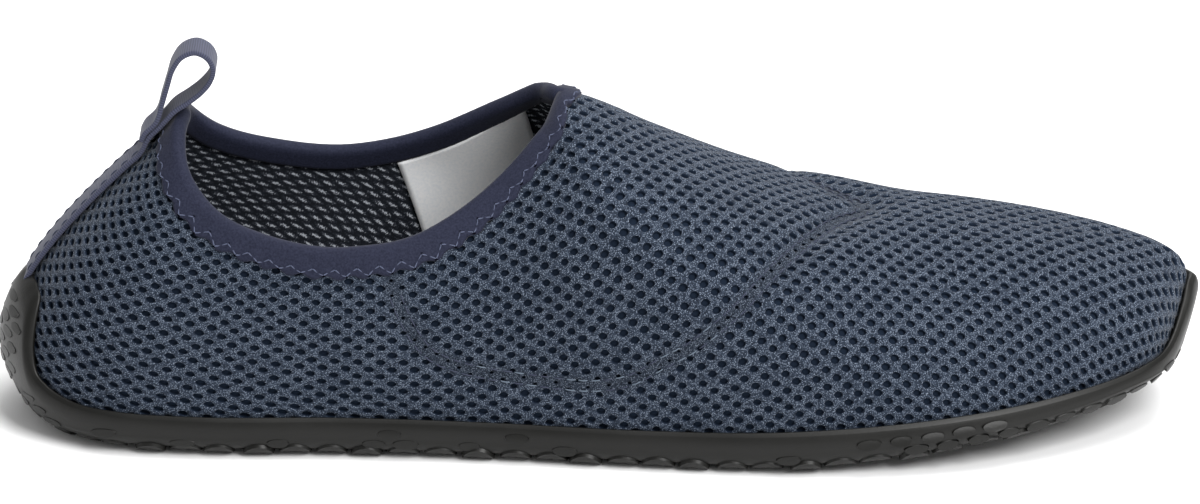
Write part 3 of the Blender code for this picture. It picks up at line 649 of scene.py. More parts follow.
def sink_holes(bm, pattern):
    """Cuts a round hole into every cell, whose lip rolls down into the knit."""
    bmesh.ops.bisect_edges(bm, edges=bm.edges, cuts=2)
    holes = list(bm.faces)
    middles = np.array([f.calc_center_median()[:2] for f in holes])
    seam_nearness = near_seam(skin(*find_places(pattern, middles)[:2]))[0]
    draw = random.Random(7)
    sizes = [(1 - PRESS_NARROWS * p) * draw.uniform(*HOLE_UNEVEN) for p in seam_nearness]
    for ring in HOLE_RINGS:
        made = bmesh.ops.inset_individual(
            bm, faces=holes, thickness=GAP / 2, use_even_offset=False,
        )
        if ring is HOLE_RINGS[-1]:
            for face in made["faces"]:
                face.material_index = 1
        for hole, middle, size, press in zip(holes, middles, sizes, seam_nearness):
            for vert in hole.verts:
                turn = math.atan2(vert.co.y - middle[1], vert.co.x - middle[0])
                vert.co = (
                    middle[0] + math.cos(turn) * HOLE_RADII[0] * ring.size * size,
                    middle[1] + math.sin(turn) * HOLE_RADII[1] * ring.size * size,
                    -ring.depth * (1 - PRESS_FLATTENS * press),
                )
    bmesh.ops.delete(bm, geom=holes, context="FACES_ONLY")


def knit_half(grid, side):
    """The spacer knit of one side with its holes."""
    pattern = make_pattern(grid, side)
    bm = knit_cells(pattern, side)
    sink_holes(bm, pattern)
    flat = points_of(bm)
    set_cloth(bm, flat[:, :2])
    station, level = find_places(pattern, flat[:, :2])[:2]
    base = skin(station, level)
    nearness, trough = near_seam(base)
    place_all(bm, base + skin_facing(station, level) * (flat[:, 2] - trough)[:, None])
    # Nearness to the seam, kept for the knit's material, which darkens the colour there as painted
    # shade
    seam_nearness = bm.verts.layers.float.new("seam_nearness")
    for vert, near in zip(bm.verts, nearness):
        vert[seam_nearness] = near
    return bm


def knit_pieces(grid, finishes):
    """The knit sewn up: both sides joined over the vamp, in two pieces that meet at mid-foot."""
    whole = bmesh.new()
    for side in (OUTER, INNER):
        half = knit_half(grid, side)
        mesh = bpy.data.meshes.new("half")
        half.to_mesh(mesh)
        half.free()
        whole.from_mesh(mesh)
        bpy.data.meshes.remove(mesh)
    rim = [v for v in whole.verts if v.is_boundary]
    bmesh.ops.remove_doubles(whole, verts=rim, dist=GAP / 10)
    front = whole.copy()
    for name, half, ahead in (("knit_quarters", whole, False), ("knit_vamp", front, True)):
        other = [f for f in half.faces if (f.calc_center_median().x > 0) != ahead]
        bmesh.ops.delete(half, geom=other, context="FACES")
        piece_from(name, half, finishes, "upper")


def lining_piece(bm, finishes):
    """The knit's inner face: the skin moved in behind the holes, given its thickness."""
    bm.normal_update()
    points = points_of(bm)
    facing = np.array([v.normal[:] for v in bm.verts])
    trough = near_seam(points)[1]
    place_all(bm, points - facing * (KNIT_DEPTH + trough)[:, None])
    lining = piece_from("knit_lining", bm, finishes, "upper")
    wall = lining.modifiers.new("wall", "SOLIDIFY")
    wall.thickness = UPPER_WALL - KNIT_DEPTH
    wall.offset = -1.0
    wall.material_offset = 1
    return lining


# Rubber cup: rows across its section and columns round it
CUP_COLUMNS = 1100
CORNER_ROWS, WALL_ROWS, LIP_ROWS, INSIDE_ROWS, FLAT_ROWS = 8, 22, 6, 5, 5
# Rows of the skin's ribs that its wall is read from, and the highest level whose outward
# direction is used, because the ridge has none of its own
TABLE_ROWS, TABLE_TOP = 60, 0.98
# The lip's rounded top is this high
LIP_RISE = RIM_WALL * 0.3
# Its outer face rounds in over this height below the lip, by this share of the wall
LIP_ROUND, LIP_THINS = 0.0042, 0.50


def skin_table(stations):
    """Ribs of the skin at the stations, with outward directions in the ground plane."""
    levels = np.linspace(0, 1, TABLE_ROWS)
    grid_station, grid_level = np.meshgrid(stations, levels, indexing="ij")
    points = skin(grid_station, grid_level)
    facing = skin_facing(grid_station, np.minimum(grid_level, TABLE_TOP))
    return points, facing


def rings_at(table, heights, offset):
    """The point of each rib at its height, moved outward by its offset."""
    points, facing = table
    ring = np.zeros((len(heights), 3))
    offsets = np.broadcast_to(offset, len(heights))
    for k, (rib, out, height, far) in enumerate(zip(points, facing, heights, offsets)):
        push = read_line(height, rib[:, 2], out[:, :2])
        place = read_line(height, rib[:, 2], rib[:, :2])
        ring[k, :2] = place + push / np.linalg.norm(push) * far
        ring[k, 2] = height
    return ring


def inward_rings(ring, heights):
    """Rings from an edge ring to the middle line, which its two sides share."""
    middle = (ring + ring[(-np.arange(len(ring))) % len(ring)]) / 2
    rings = []
    for share in np.linspace(1, 0, FLAT_ROWS + 1)[1:]:
        inner = middle + (ring - middle) * share
        inner[:, 2] = heights(inner)
        rings.append(inner)
    return rings


def under_height(points):
    return LUG_DEPTH + rise(points + MIDDLE)


def cup_sections():
    """Rings of the cup's section from the corner's start on the underside up its outer face,
    over the lip and down its inner face, with the outer face's outward direction."""
    stations = np.linspace(0, 2, CUP_COLUMNS, endpoint=False)
    table = skin_table(stations)
    edge, out = outline_at(stations)
    edge = edge - MIDDLE
    corner = corner_radius(stations)
    base = under_height(edge - out * corner[:, None])
    floor = base + FLOOR_THICKNESS
    top = rim_height(stations)
    turn = np.arccos(np.clip((corner - FLOOR_THICKNESS) / corner, 0, 1))
    outside, inside = [], []
    for part in np.arange(CORNER_ROWS) / CORNER_ROWS:
        inset = corner * (1 - np.sin(turn * part))
        height = base + corner * (1 - np.cos(turn * part))
        outside.append(edge - out * inset[:, None] + UP * (height - edge[:, 2])[:, None])
    for part in np.linspace(0, 1, WALL_ROWS):
        height = floor + (top - LIP_RISE - floor) * part
        near_top = np.clip(1 - (top - height) / LIP_ROUND, 0, 1)
        offset = CUP_GAP + RIM_WALL * (1 - LIP_THINS * near_top**2)
        outside.append(rings_at(table, height, offset))
    lip = RIM_WALL * (1 - LIP_THINS) / 2
    for turn_up in np.linspace(0, math.pi, LIP_ROWS + 2)[1:-1]:
        height = top - LIP_RISE + LIP_RISE * math.sin(turn_up)
        inside.append(rings_at(table, height, CUP_GAP + lip + lip * math.cos(turn_up)))
    for part in np.linspace(1, 0, INSIDE_ROWS):
        height = floor + (top - LIP_RISE - floor) * part
        inside.append(rings_at(table, height, CUP_GAP))
    return np.array(outside), np.array(inside)


Side = namedtuple("Side", "rings facing travel climb")


def cup_side(rings):
    """The cup's outer face to set scales and lobes on: each point has its travel round the sole
    from the heel, outer side first, and its climb from the start of the rounded corner."""
    along = np.roll(rings, -1, axis=1) - np.roll(rings, 1, axis=1)
    facing = unit(np.cross(along, np.gradient(rings, axis=0)))
    steps = np.linalg.norm(np.roll(rings[CORNER_ROWS], -1, axis=0) - rings[CORNER_ROWS], axis=1)
    climbs = np.linalg.norm(np.diff(rings, axis=0), axis=2)
    climb = np.concatenate((np.zeros((1, rings.shape[1])), np.cumsum(climbs, axis=0)))
    return Side(rings, facing, np.concatenate(([0], np.cumsum(steps))), climb)


def on_side(side, travel, climb, lift):
    """Points on the cup's outer face, raised by the lift, none below the ground it stands on."""
    place = np.interp(travel % side.travel[-1], side.travel, np.arange(len(side.travel)))
    k = np.floor(place).astype(int) % side.rings.shape[1]
    ahead, s = (k + 1) % side.rings.shape[1], (place - np.floor(place))[:, None]
    row = np.clip((side.climb[:, k] < climb).sum(axis=0) - 1, 0, len(side.rings) - 2)
    low, high = side.climb[row, k], side.climb[row + 1, k]
    t = np.minimum((climb - low) / (high - low), 1)[:, None]

    def blend(values):
        lower = values[row, k] * (1 - s) + values[row, ahead] * s
        return lower * (1 - t) + (values[row + 1, k] * (1 - s) + values[row + 1, ahead] * s) * t

    points = blend(side.rings) + unit(side.facing[row, k]) * lift[:, None]
    points[:, 2] = np.maximum(points[:, 2], under_height(points) - LUG_DEPTH)
    return points


# Scales on the rubber's outer face: pitch round the sole and up it, size, how far the lower edge
# stands out, and how far they keep above the corner and below the rim, and the rim at the heel
SCALE_PITCH, SCALE_RISE = 0.0074, 0.0026
SCALE_SIZE = (0.0062, 0.0030)
SCALE_LIFT = 0.00100
SCALE_LOW, SCALE_TOP, HEEL_TOP = 0.0050, 0.0020, 0.0036
# Places across a scale and its staggered neighbour, in pitches, where the rim's height is read
SCALE_SPAN = (-0.3, 0.0, 0.3, 0.8)
# They stand close from the front's start to its end and behind the back's end, as shares of the
# way from the heel to the toe, each with the share over which that comes or goes
FRONT_START, FRONT_BLEND = 0.55, 0.2
FRONT_END, FRONT_FADE = 0.965, 0.04
BACK_END, BACK_FADE = 0.10, 0.06
# Between them only some are moulded, in the lowest rows. The chance and the strength of a scale
# there, what the ends add to the chance, and what the front adds and the back takes in strength
SIDE_CHANCE, SIDE_STRENGTH = 0.22, 0.6
ENDS_CHANCE, FRONT_STRONGER, BACK_FAINTER = 0.75, 0.6, 0.25
SIDE_ROWS, FRONT_FULL, BACK_FULL = 2, 0.9, 0.5
LIFT_UNEVEN, SCALE_UNEVEN = (0.7, 1.2), (0.85, 1.05)
# A scale's upper side is flatter than its lower one, and its rim is sunk into the rubber
SCALE_FLAT, SCALE_SUNK, SCALE_RAISED = 0.7, 0.0002, 0.00002
# Lobes round the corner of the underside: every third one is deep, the others are shallow, and
# they fade towards the toe
LOBE_PITCH = 0.0086
LOBE_SIZE = (0.0080, 0.0070)
LOBE_MIDDLE = 0.0011
LOBE_EVERY, DEEP_LOBE, SHALLOW_LOBES = 3, 1.1, (0.5, 0.8)
LOBE_FADE, LOBE_LEFT = (0.88, 0.96), 0.45
LOBE_SHIFT, LOBE_UNEVEN = (-0.06, 0.06), (0.94, 1.04)
LOBE_SUNK, LOBE_LIFT, LOBE_SLOPE = 0.0004, 0.68, 0.60
SHARP_ANGLE = 35
# A plate's cap is smaller than its foot, and has rings inside so that it can follow the rubber
PLATE_SIDES, PLATE_CAP = 16, (0.92, 0.88, 1.0)
CAP_RINGS, CAP_RING = 2, 0.12


def add_plate(bm, place, size, flatten, sink, lift):
    """A flat D-shaped plate in the face's own travel, climb and lift."""
    plate = bmesh.ops.create_circle(bm, cap_ends=True, segments=PLATE_SIDES, radius=0.5)["verts"]
    for vert in plate:
        if vert.co.y > 0:
            vert.co.y *= flatten
    base = bmesh.ops.extrude_face_region(bm, geom=list(plate[0].link_faces))
    cap = [g for g in base["geom"] if isinstance(g, bmesh.types.BMFace)]
    top = list(cap[0].verts)
    bmesh.ops.scale(bm, verts=top, vec=PLATE_CAP)
    for ring in range(CAP_RINGS):
        bmesh.ops.inset_individual(bm, faces=cap, thickness=CAP_RING, use_even_offset=True)
        top += cap[0].verts
    for vert in plate:
        vert.co.z = -sink
    for vert in top:
        vert.co.z = lift(vert.co.y)
    for vert in plate + top:
        vert.co.x = place[0] + vert.co.x * size[0]
        vert.co.y = place[1] + vert.co.y * size[1]


def sole_scales(side, finish):
    """The scales up the rubber's side and the lobes round its bottom corner."""
    bm = bmesh.new()
    draw = random.Random(11)
    around = side.travel[-1]
    count = round(around / SCALE_PITCH)
    for k in range(count):
        travel = k * around / count
        share = share_of(np.array([2 * travel / around]))[0][0]
        spots = travel + SCALE_PITCH * np.array(SCALE_SPAN)
        lowest = np.interp(spots % around, side.travel[:-1], side.climb[-1]).min()
        front = np.clip((share - FRONT_START) / FRONT_BLEND, 0, 1)
        front *= np.clip((FRONT_END - share) / FRONT_FADE, 0, 1)
        back = np.clip((BACK_END - share) / BACK_FADE, 0, 1)
        strength = SIDE_STRENGTH + FRONT_STRONGER * front - BACK_FAINTER * back
        only_low = front < FRONT_FULL and back < BACK_FULL
        top = lowest - SCALE_TOP - (HEEL_TOP - SCALE_TOP) * min(1, 4 * back)
        for row in range(int((top - SCALE_LOW) / SCALE_RISE) + 1):
            chance = draw.random()
            if chance > SIDE_CHANCE + ENDS_CHANCE * max(front, back):
                continue
            if only_low and row >= SIDE_ROWS:
                continue
            place = (travel + SCALE_PITCH * (row % 2) / 2, SCALE_LOW + row * SCALE_RISE)
            stands = SCALE_LIFT * strength * draw.uniform(*LIFT_UNEVEN)
            size = [s * draw.uniform(*SCALE_UNEVEN) for s in SCALE_SIZE]
            add_plate(
                bm, place, size, SCALE_FLAT, SCALE_SUNK,
                lambda y: stands * (0.5 - y) + SCALE_RAISED,
            )
    count = LOBE_EVERY * round(around / LOBE_PITCH / LOBE_EVERY)
    for k in range(count):
        travel = (k + draw.uniform(*LOBE_SHIFT)) * around / count
        share = share_of(np.array([2 * travel / around]))[0][0]
        deep = LUG_DEPTH * (DEEP_LOBE if k % LOBE_EVERY == 0 else draw.uniform(*SHALLOW_LOBES))
        deep *= np.interp(share, LOBE_FADE, (1.0, LOBE_LEFT))
        size = [s * draw.uniform(*LOBE_UNEVEN) for s in LOBE_SIZE]
        add_plate(
            bm, (travel, LOBE_MIDDLE), size, 1.0, LOBE_SUNK,
            lambda y: deep * (LOBE_LIFT - LOBE_SLOPE * y),
        )
    place_all(bm, on_side(side, *points_of(bm).T))
    bmesh.ops.recalc_face_normals(bm, faces=bm.faces)
    scales = piece_from("rubber_scales", bm, (finish,), "outsole")
    scales.data.set_sharp_from_angle(angle=math.radians(SHARP_ANGLE))
    return scales


def ring_piece(name, rings, finish, node):
    """A closed piece from rings of points, with its seam and its poles merged."""
    rows, columns = rings.shape[:2]
    bm, across, up = grid_sheet(columns, rows - 1)
    column = np.round(across * columns).astype(int) % columns
    place_all(bm, rings[np.round(up * (rows - 1)).astype(int), column])
    bmesh.ops.remove_doubles(bm, verts=bm.verts, dist=GAP / 30)
    bmesh.ops.recalc_face_normals(bm, faces=bm.faces)
    return piece_from(name, bm, (finish,), node)


def rubber_cup(outside, inside, finish):
    """The moulded cup sole: underside, rounded corner, wall, lip and inside."""
    under = inward_rings(outside[0], under_height)[::-1]
    floors = inward_rings(inside[-1], lambda p: under_height(p) + FLOOR_THICKNESS)
    rings = np.concatenate((under, outside, inside, floors))
    return ring_piece("rubber_cup", rings, finish, "outsole")


# Round lugs under the sole, with the pitch and size of the part's source: the distance between
# rows in pitches and where the first row stands in rows, how far a lug's middle keeps from the
# tread's edge in lug sizes, and how far the tread keeps inside the sole's rounded corner
TREAD_PITCH = 0.0150
TREAD_LUG = 0.0100
TREAD_ROWS, TREAD_START = 0.8, 0.75
TREAD_MARGIN = 0.575
TREAD_INSET = 0.0086 * 0.75
# A lug's foot is smaller than its root, which is sunk into the rubber, and is rounded off
LUG_SIDES, LUG_DRAFT, LUG_SUNK, LUG_ROUND = 14, 0.84, 0.0012, 0.0003


def lug(bm, place):
    """One lug: a round plate whose foot is smaller and rounded off."""
    root = bmesh.ops.create_circle(bm, cap_ends=True, segments=LUG_SIDES, radius=0.5)["verts"]
    made = bmesh.ops.extrude_face_region(bm, geom=[root[0].link_faces[0]])
    foot = [g for g in made["geom"] if isinstance(g, bmesh.types.BMVert)]
    bmesh.ops.scale(bm, verts=foot, vec=(LUG_DRAFT, LUG_DRAFT, 1.0))
    bmesh.ops.translate(bm, verts=foot, vec=(0, 0, -1))
    bmesh.ops.scale(bm, verts=root + foot, vec=(TREAD_LUG, TREAD_LUG, LUG_DEPTH + LUG_SUNK))
    for vert in root + foot:
        spot = np.array((vert.co.x + place[0], vert.co.y + place[1], 0.0))
        vert.co = (spot[0], spot[1], vert.co.z + LUG_SUNK + under_height(spot))
    foot_edges = {e for v in foot for e in v.link_edges if all(w in foot for w in e.verts)}
    bmesh.ops.bevel(
        bm, geom=list(foot_edges), offset=LUG_ROUND, offset_type="OFFSET", affect="EDGES",
        segments=2, profile=0.5, material=-1,
    )


def tread_edges():
    """The lines on the outer and the inner side that the tread's lugs keep between."""
    edges = []
    share = np.linspace(0.002, 0.998, DENSE)
    for station in (share, 2 - share):
        place, out = outline_at(station)
        line = place - out * ((corner_radius(station) + SIDE_CORNER) / 2 + TREAD_INSET)[:, None]
        farthest = np.maximum.accumulate(line[:, 0])
        edges.append(line[np.concatenate(([True], np.diff(farthest) > 0))])
    return edges


def sole_lugs(finish):
    """Staggered lugs over the tread."""
    bm = bmesh.new()
    outer, inner = tread_edges()
    row_step = TREAD_PITCH * TREAD_ROWS
    for row in range(int(SOLE_LENGTH / row_step)):
        x = (row + TREAD_START) * row_step
        back, front = ends = (x - TREAD_LUG / 2, x + TREAD_LUG / 2)
        if back < max(outer[0, 0], inner[0, 0]) or front > min(outer[-1, 0], inner[-1, 0]):
            continue
        low = np.interp(ends, outer[:, 0], outer[:, 1]).max() + TREAD_LUG * TREAD_MARGIN
        high = np.interp(ends, inner[:, 0], inner[:, 1]).min() - TREAD_LUG * TREAD_MARGIN
        shift = (row % 2) / 2
        first = math.ceil(low / TREAD_PITCH - shift)
        last = math.floor(high / TREAD_PITCH - shift)
        for k in range(first, last + 1):
            lug(bm, (x - MIDDLE[0], (k + shift) * TREAD_PITCH - MIDDLE[1]))
    bmesh.ops.recalc_face_normals(bm, faces=bm.faces)
    return piece_from("rubber_lugs", bm, (finish,), "outsole")


def on_skin(tree, point, offset):
    place, normal = tree.find_nearest(Vector(point))[:2]
    return np.array(place + normal * offset)


# Collar binding: rows of its outer leg from the lower edge up, which the inner leg follows too.
# drop is a share of the leg's length, and lift of the binding's thickness above the knit.
BINDING_WIDTH = 0.0064
BINDING_THICKNESS = 0.0009
Section = namedtuple("Section", "drop lift")
OUTER_LEG = (
    Section(1.010, -0.60),
    Section(1.015, 0.25),
    Section(0.990, 0.62),
    Section(0.940, 0.84),
    Section(0.850, 0.96),
    Section(0.700, 1.00),
    Section(0.500, 1.00),
    Section(0.300, 1.00),
    Section(0.120, 1.00),
)
# The legs' lengths as shares of the width: the outer one is shorter than in the part's source
# and the inner one a little longer
OUTER_LEG_SHARE, INNER_LEG_SHARE = 0.86, 0.66
# The zigzag's pitch and its corners' drops, and how far it puckers the leg's lower edge in and
# out and how much more it lifts it, which starts at a drop and is full after the last number
ZIGZAG_PITCH = 0.0052
ZIGZAG_DROPS = (0.62, 0.95)
PUCKER, PUCKER_LIFT = 0.09, 2.5
PUCKER_START, PUCKER_BLEND = 0.45, 0.5
THREAD_RADIUS = 0.00016
TURN_STEPS, TURN_FLAT = 7, 0.85
# The first rows of the leg turn under. What is sewn on it is placed from this row on, square to
# the tape at the next one, and its travel is measured at the last.
LEG_START, LEG_SQUARE, LEG_TRAVEL = 2, 4, 5


def collar_directions(points, tree):
    """Outward and downward directions at the collar's edge."""
    along = unit(np.roll(points, -1, axis=0) - np.roll(points, 1, axis=0))
    facing = np.array([tree.find_nearest(Vector(p))[1][:] for p in points])
    for step in range(3):
        facing = unit(np.roll(facing, 1, axis=0) + facing + np.roll(facing, -1, axis=0))
    facing = unit(facing - along * (facing * along).sum(axis=1, keepdims=True))
    return facing, unit(np.cross(along, facing))


def binding_sections(tree):
    """Closed sections of the binding round the collar."""
    edge = collar_ring()[1]
    facing, down = collar_directions(edge, tree)
    travel = travel_along(edge)
    sections = []
    for k, (point, out, low) in enumerate(zip(edge, facing, down)):
        wave = math.cos(travel[k] / ZIGZAG_PITCH * 2 * math.pi)
        outer, inner = [], []
        for s in OUTER_LEG:
            low_part = np.clip((s.drop - PUCKER_START) / PUCKER_BLEND, 0, 1)
            drop = BINDING_WIDTH * OUTER_LEG_SHARE * s.drop * (1 + PUCKER * low_part * wave)
            lift = BINDING_THICKNESS * s.lift * (1 - PUCKER_LIFT * PUCKER * low_part * wave)
            outer.append(on_skin(tree, point + low * drop, lift))
            drop = BINDING_WIDTH * s.drop * INNER_LEG_SHARE
            lift = -UPPER_WALL - BINDING_THICKNESS * s.lift
            inner.append(on_skin(tree, point + low * drop, lift))
        half = UPPER_WALL / 2 + BINDING_THICKNESS
        turn = []
        for angle in np.linspace(0, math.pi, TURN_STEPS + 2)[1:-1]:
            reach = out * (math.cos(angle) * half - UPPER_WALL / 2)
            turn.append(point + reach - low * math.sin(angle) * half * TURN_FLAT)
        sections.append(outer + turn + inner[::-1])
    return np.array(sections)


def binding_piece(sections, finish):
    """The folded tape round the collar, as one closed ring."""
    rings = sections.transpose(1, 0, 2)
    rings = np.concatenate((rings, rings[:1]))
    return ring_piece("binding", rings, finish, "collar_binding")


def on_binding(sections, place, drop, lift):
    """A point on the binding's outer leg: place counts sections round the collar."""
    k = int(place) % len(sections)
    ahead, between = (k + 1) % len(sections), place - int(place)
    leg = slice(LEG_START, len(OUTER_LEG))
    line = sections[k, leg] * (1 - between) + sections[ahead, leg] * between
    drops = [s.drop for s in OUTER_LEG[leg]]
    point = read_line(drop, drops[::-1], line[::-1])
    along = sections[ahead, LEG_SQUARE] - sections[k - 1, LEG_SQUARE]
    return point + unit(np.cross(line[-1] - line[0], along)) * lift


def thread_lines(name, lines, radius, finish, node):
    """Stitches as short round threads, all in one mesh; each dips in at its ends."""
    curve = bpy.data.curves.new(name, "CURVE")
    curve.dimensions = "3D"
    curve.bevel_depth, curve.bevel_resolution, curve.use_fill_caps = radius, 1, True
    for line in lines:
        spline = curve.splines.new("POLY")
        spline.points.add(len(line) - 1)
        for point, place in zip(spline.points, line):
            point.co = (*place, 1.0)
    holder = bpy.data.objects.new(name, curve)
    bpy.context.scene.collection.objects.link(holder)
    seen = holder.evaluated_get(bpy.context.evaluated_depsgraph_get())
    bm = bmesh.new()
    bm.from_mesh(seen.to_mesh())
    bpy.data.objects.remove(holder, do_unlink=True)
    bpy.data.curves.remove(curve)
    return piece_from(name, bm, (finish,), node)


# Height of a stitch along it, and the part of the zigzag's straight lines that shows
STITCH_ARCH = (-0.00020, 0.00008, 0.00018, 0.00008, -0.00020)
STITCH_SHOWN = np.linspace(0.04, 0.96, len(STITCH_ARCH))
# The needle's punctures are near-black discs laid just above the elastic, painted shade: their
# radius and lift
PUNCTURE_RADIUS, PUNCTURE_LIFT = 0.00046, 0.00003


def zigzag(sections, thread, dark):
    """The zigzag that holds the binding down, and at its corners near-black discs, painted shade of
    the needle's punctures.
    """
    line = sections[:, LEG_TRAVEL]
    travel = travel_along(np.concatenate((line, line[:1])))
    corners = 2 * round(travel[-1] / ZIGZAG_PITCH)
    spots = np.arange(corners + 1) * travel[-1] / corners
    places = np.interp(spots, travel, np.arange(len(travel)))
    lines = []
    bm = bmesh.new()
    for k in range(corners):
        ends = (places[k], ZIGZAG_DROPS[k % 2]), (places[k + 1], ZIGZAG_DROPS[(k + 1) % 2])
        line = []
        for part, arch in zip(STITCH_SHOWN, STITCH_ARCH):
            place, drop = (a + (b - a) * part for a, b in zip(*ends))
            line.append(on_binding(sections, place, drop, arch))
        lines.append(line)
        # A puncture: a dark disc of painted shade at the corner
        spot = on_binding(sections, *ends[0], PUNCTURE_LIFT)
        out = unit(on_binding(sections, *ends[0], 0.001) - spot)
        turn = Vector(out).to_track_quat("Z", "Y").to_matrix().to_4x4()
        turn.translation = Vector(spot)
        bmesh.ops.create_circle(
            bm, cap_ends=True, segments=8, radius=PUNCTURE_RADIUS, matrix=turn,
        )
    thread_lines("binding_zigzag", lines, THREAD_RADIUS, thread, "collar_binding")
    return piece_from("binding_punctures_painted_shade", bm, (dark,), "collar_binding")


# The seam's stitch length, the part of it that the thread shows, the distance between the two
# lines, and the share of the trough's depth that the thread sinks
SEAM_STITCH, SEAM_SHOWN = 0.0030, 0.78
SEAM_APART = 0.0026
SEAM_SUNK = 0.8
# Where along the seam stitches take the pale thread, a painted highlight where they catch the
# light: the middle of that stretch and half its length, as shares of the seam, and how many do so
# at its middle
LIT_STITCHES = (0.42, 0.24)
LIT_CHANCE = 0.65


def seam_stitches(pale, dark):
    """The reinforcement's double line of lockstitches on both sides. Round its lowest stretch some
    stitches are drawn in the pale thread, a painted highlight where they catch the light; the
    others, of dark thread, hardly show."""
    lit_stitches, dark_stitches = [], []
    draw = random.Random(5)
    for side in (slice(None, SEAM_STEPS), slice(SEAM_STEPS, None)):
        line, depth = SEAM_POINTS[side], SEAM_DEPTH[side]
        travel = travel_along(line)
        facing = skin_facing(SEAM_STATION[side], SEAM_LEVEL[side])
        aside = unit(np.cross(facing, unit(np.gradient(line, axis=0))))
        for apart in (-SEAM_APART / 2, SEAM_APART / 2):
            for begin in np.arange(BINDING_WIDTH, travel[-1] - SEAM_STITCH, SEAM_STITCH):
                spots = begin + SEAM_STITCH * np.linspace(0, SEAM_SHOWN, len(STITCH_ARCH))
                middle, across, out = (read_line(spots, travel, v) for v in (line, aside, facing))
                # Near the stretch's middle a stitch gets the pale thread by chance: painted
                # highlight
                away = abs(begin / travel[-1] - LIT_STITCHES[0]) / LIT_STITCHES[1]
                low = draw.random() < LIT_CHANCE * (1 - away)
                sunk = np.interp(spots, travel, depth) * SEAM_SUNK - np.array(STITCH_ARCH)
                (lit_stitches if low else dark_stitches).append(middle + across * apart - out * sunk[:, None])
    thread_lines("seam_stitches_low", lit_stitches, THREAD_RADIUS, pale, "upper")
    thread_lines("seam_stitches_high", dark_stitches, THREAD_RADIUS, dark, "upper")


# Pull tape: rows down the back seam from the collar's edge as shares of the binding's width,
# and the loop's line above the collar, as in the part's source
TAPE_WIDTH = 0.0100
TAPE_THICKNESS = 0.0012
LOOP_HEIGHT = 0.0146
LOOP_WIDTH = 0.0115
TAPE_STEP = (1.30, 1.90)
TAPE_ON_BINDING = (0.70, 0.35, 0.0)
LOOP_END = 1.65
# The tape starts this far below the rubber's rim, has so many rows up to the binding, and is
# lifted this far by it
TAPE_TUCK = 0.002
SEAM_ROWS = 8
BINDING_LIFT = 0.0012
Bend = namedtuple("Bend", "forward up")
LOOP = (
    Bend(0.33, 0.10),
    Bend(0.59, 0.27),
    Bend(0.77, 0.45),
    Bend(0.85, 0.66),
    Bend(0.75, 0.87),
    Bend(0.45, 1.00),
    Bend(0.13, 0.91),
    Bend(-0.06, 0.70),
    Bend(-0.18, 0.41),
    Bend(-0.29, 0.12),
)


def tape_line(tree):
    """The tape's line from the rubber up, round the loop and down again."""
    level = np.linspace(0, 1, DENSE)
    seam = skin(np.zeros(DENSE), level)
    seam = seam[seam[:, 2] > RIM_HEEL_HEIGHT - TAPE_TUCK]
    travel = np.linalg.norm(seam - seam[-1], axis=1)

    def sewn(distance, layer):
        place = seam[np.abs(travel - distance).argmin()]
        step = (TAPE_STEP[1] - distance / BINDING_WIDTH) / (TAPE_STEP[1] - TAPE_STEP[0])
        lift = GAP / 2 + np.clip(step, 0, 1) * BINDING_LIFT
        return on_skin(tree, place, lift + layer * 2 * (TAPE_THICKNESS + GAP / 3))

    stops = np.concatenate((
        np.linspace(travel[0], TAPE_STEP[1] * BINDING_WIDTH, SEAM_ROWS + 1)[:-1],
        np.array((*TAPE_STEP[::-1], *TAPE_ON_BINDING)) * BINDING_WIDTH,
    ))
    line = [sewn(distance, 0) for distance in stops]
    top = line[-1] + UP * BINDING_LIFT
    for bend in LOOP:
        line.append(top + np.array((bend.forward * LOOP_WIDTH, 0, bend.up * LOOP_HEIGHT)))
    back = (TAPE_ON_BINDING[0], TAPE_STEP[0], LOOP_END)
    line += [sewn(share * BINDING_WIDTH, 1) for share in back]
    return np.array(line)


TAPE_COLUMNS, TAPE_ROWS = 10, 149
# The padding's height, the distance from the tape's start at which it begins, and the distances
# over which it rises and runs out before the binding
TAPE_PAD, PAD_START, PAD_RISE, PAD_END = 0.00025, 0.001, 0.004, 0.006
# Its stitches: length, the part that shows, where they start, the distance from the middle as a
# share of the tape's width, and the share of the padding that is left there
TAPE_STITCH, TAPE_SHOWN = 0.0034, 0.8
STITCH_START, STITCH_ASIDE, STITCH_PAD = 0.002, 0.38, 0.35


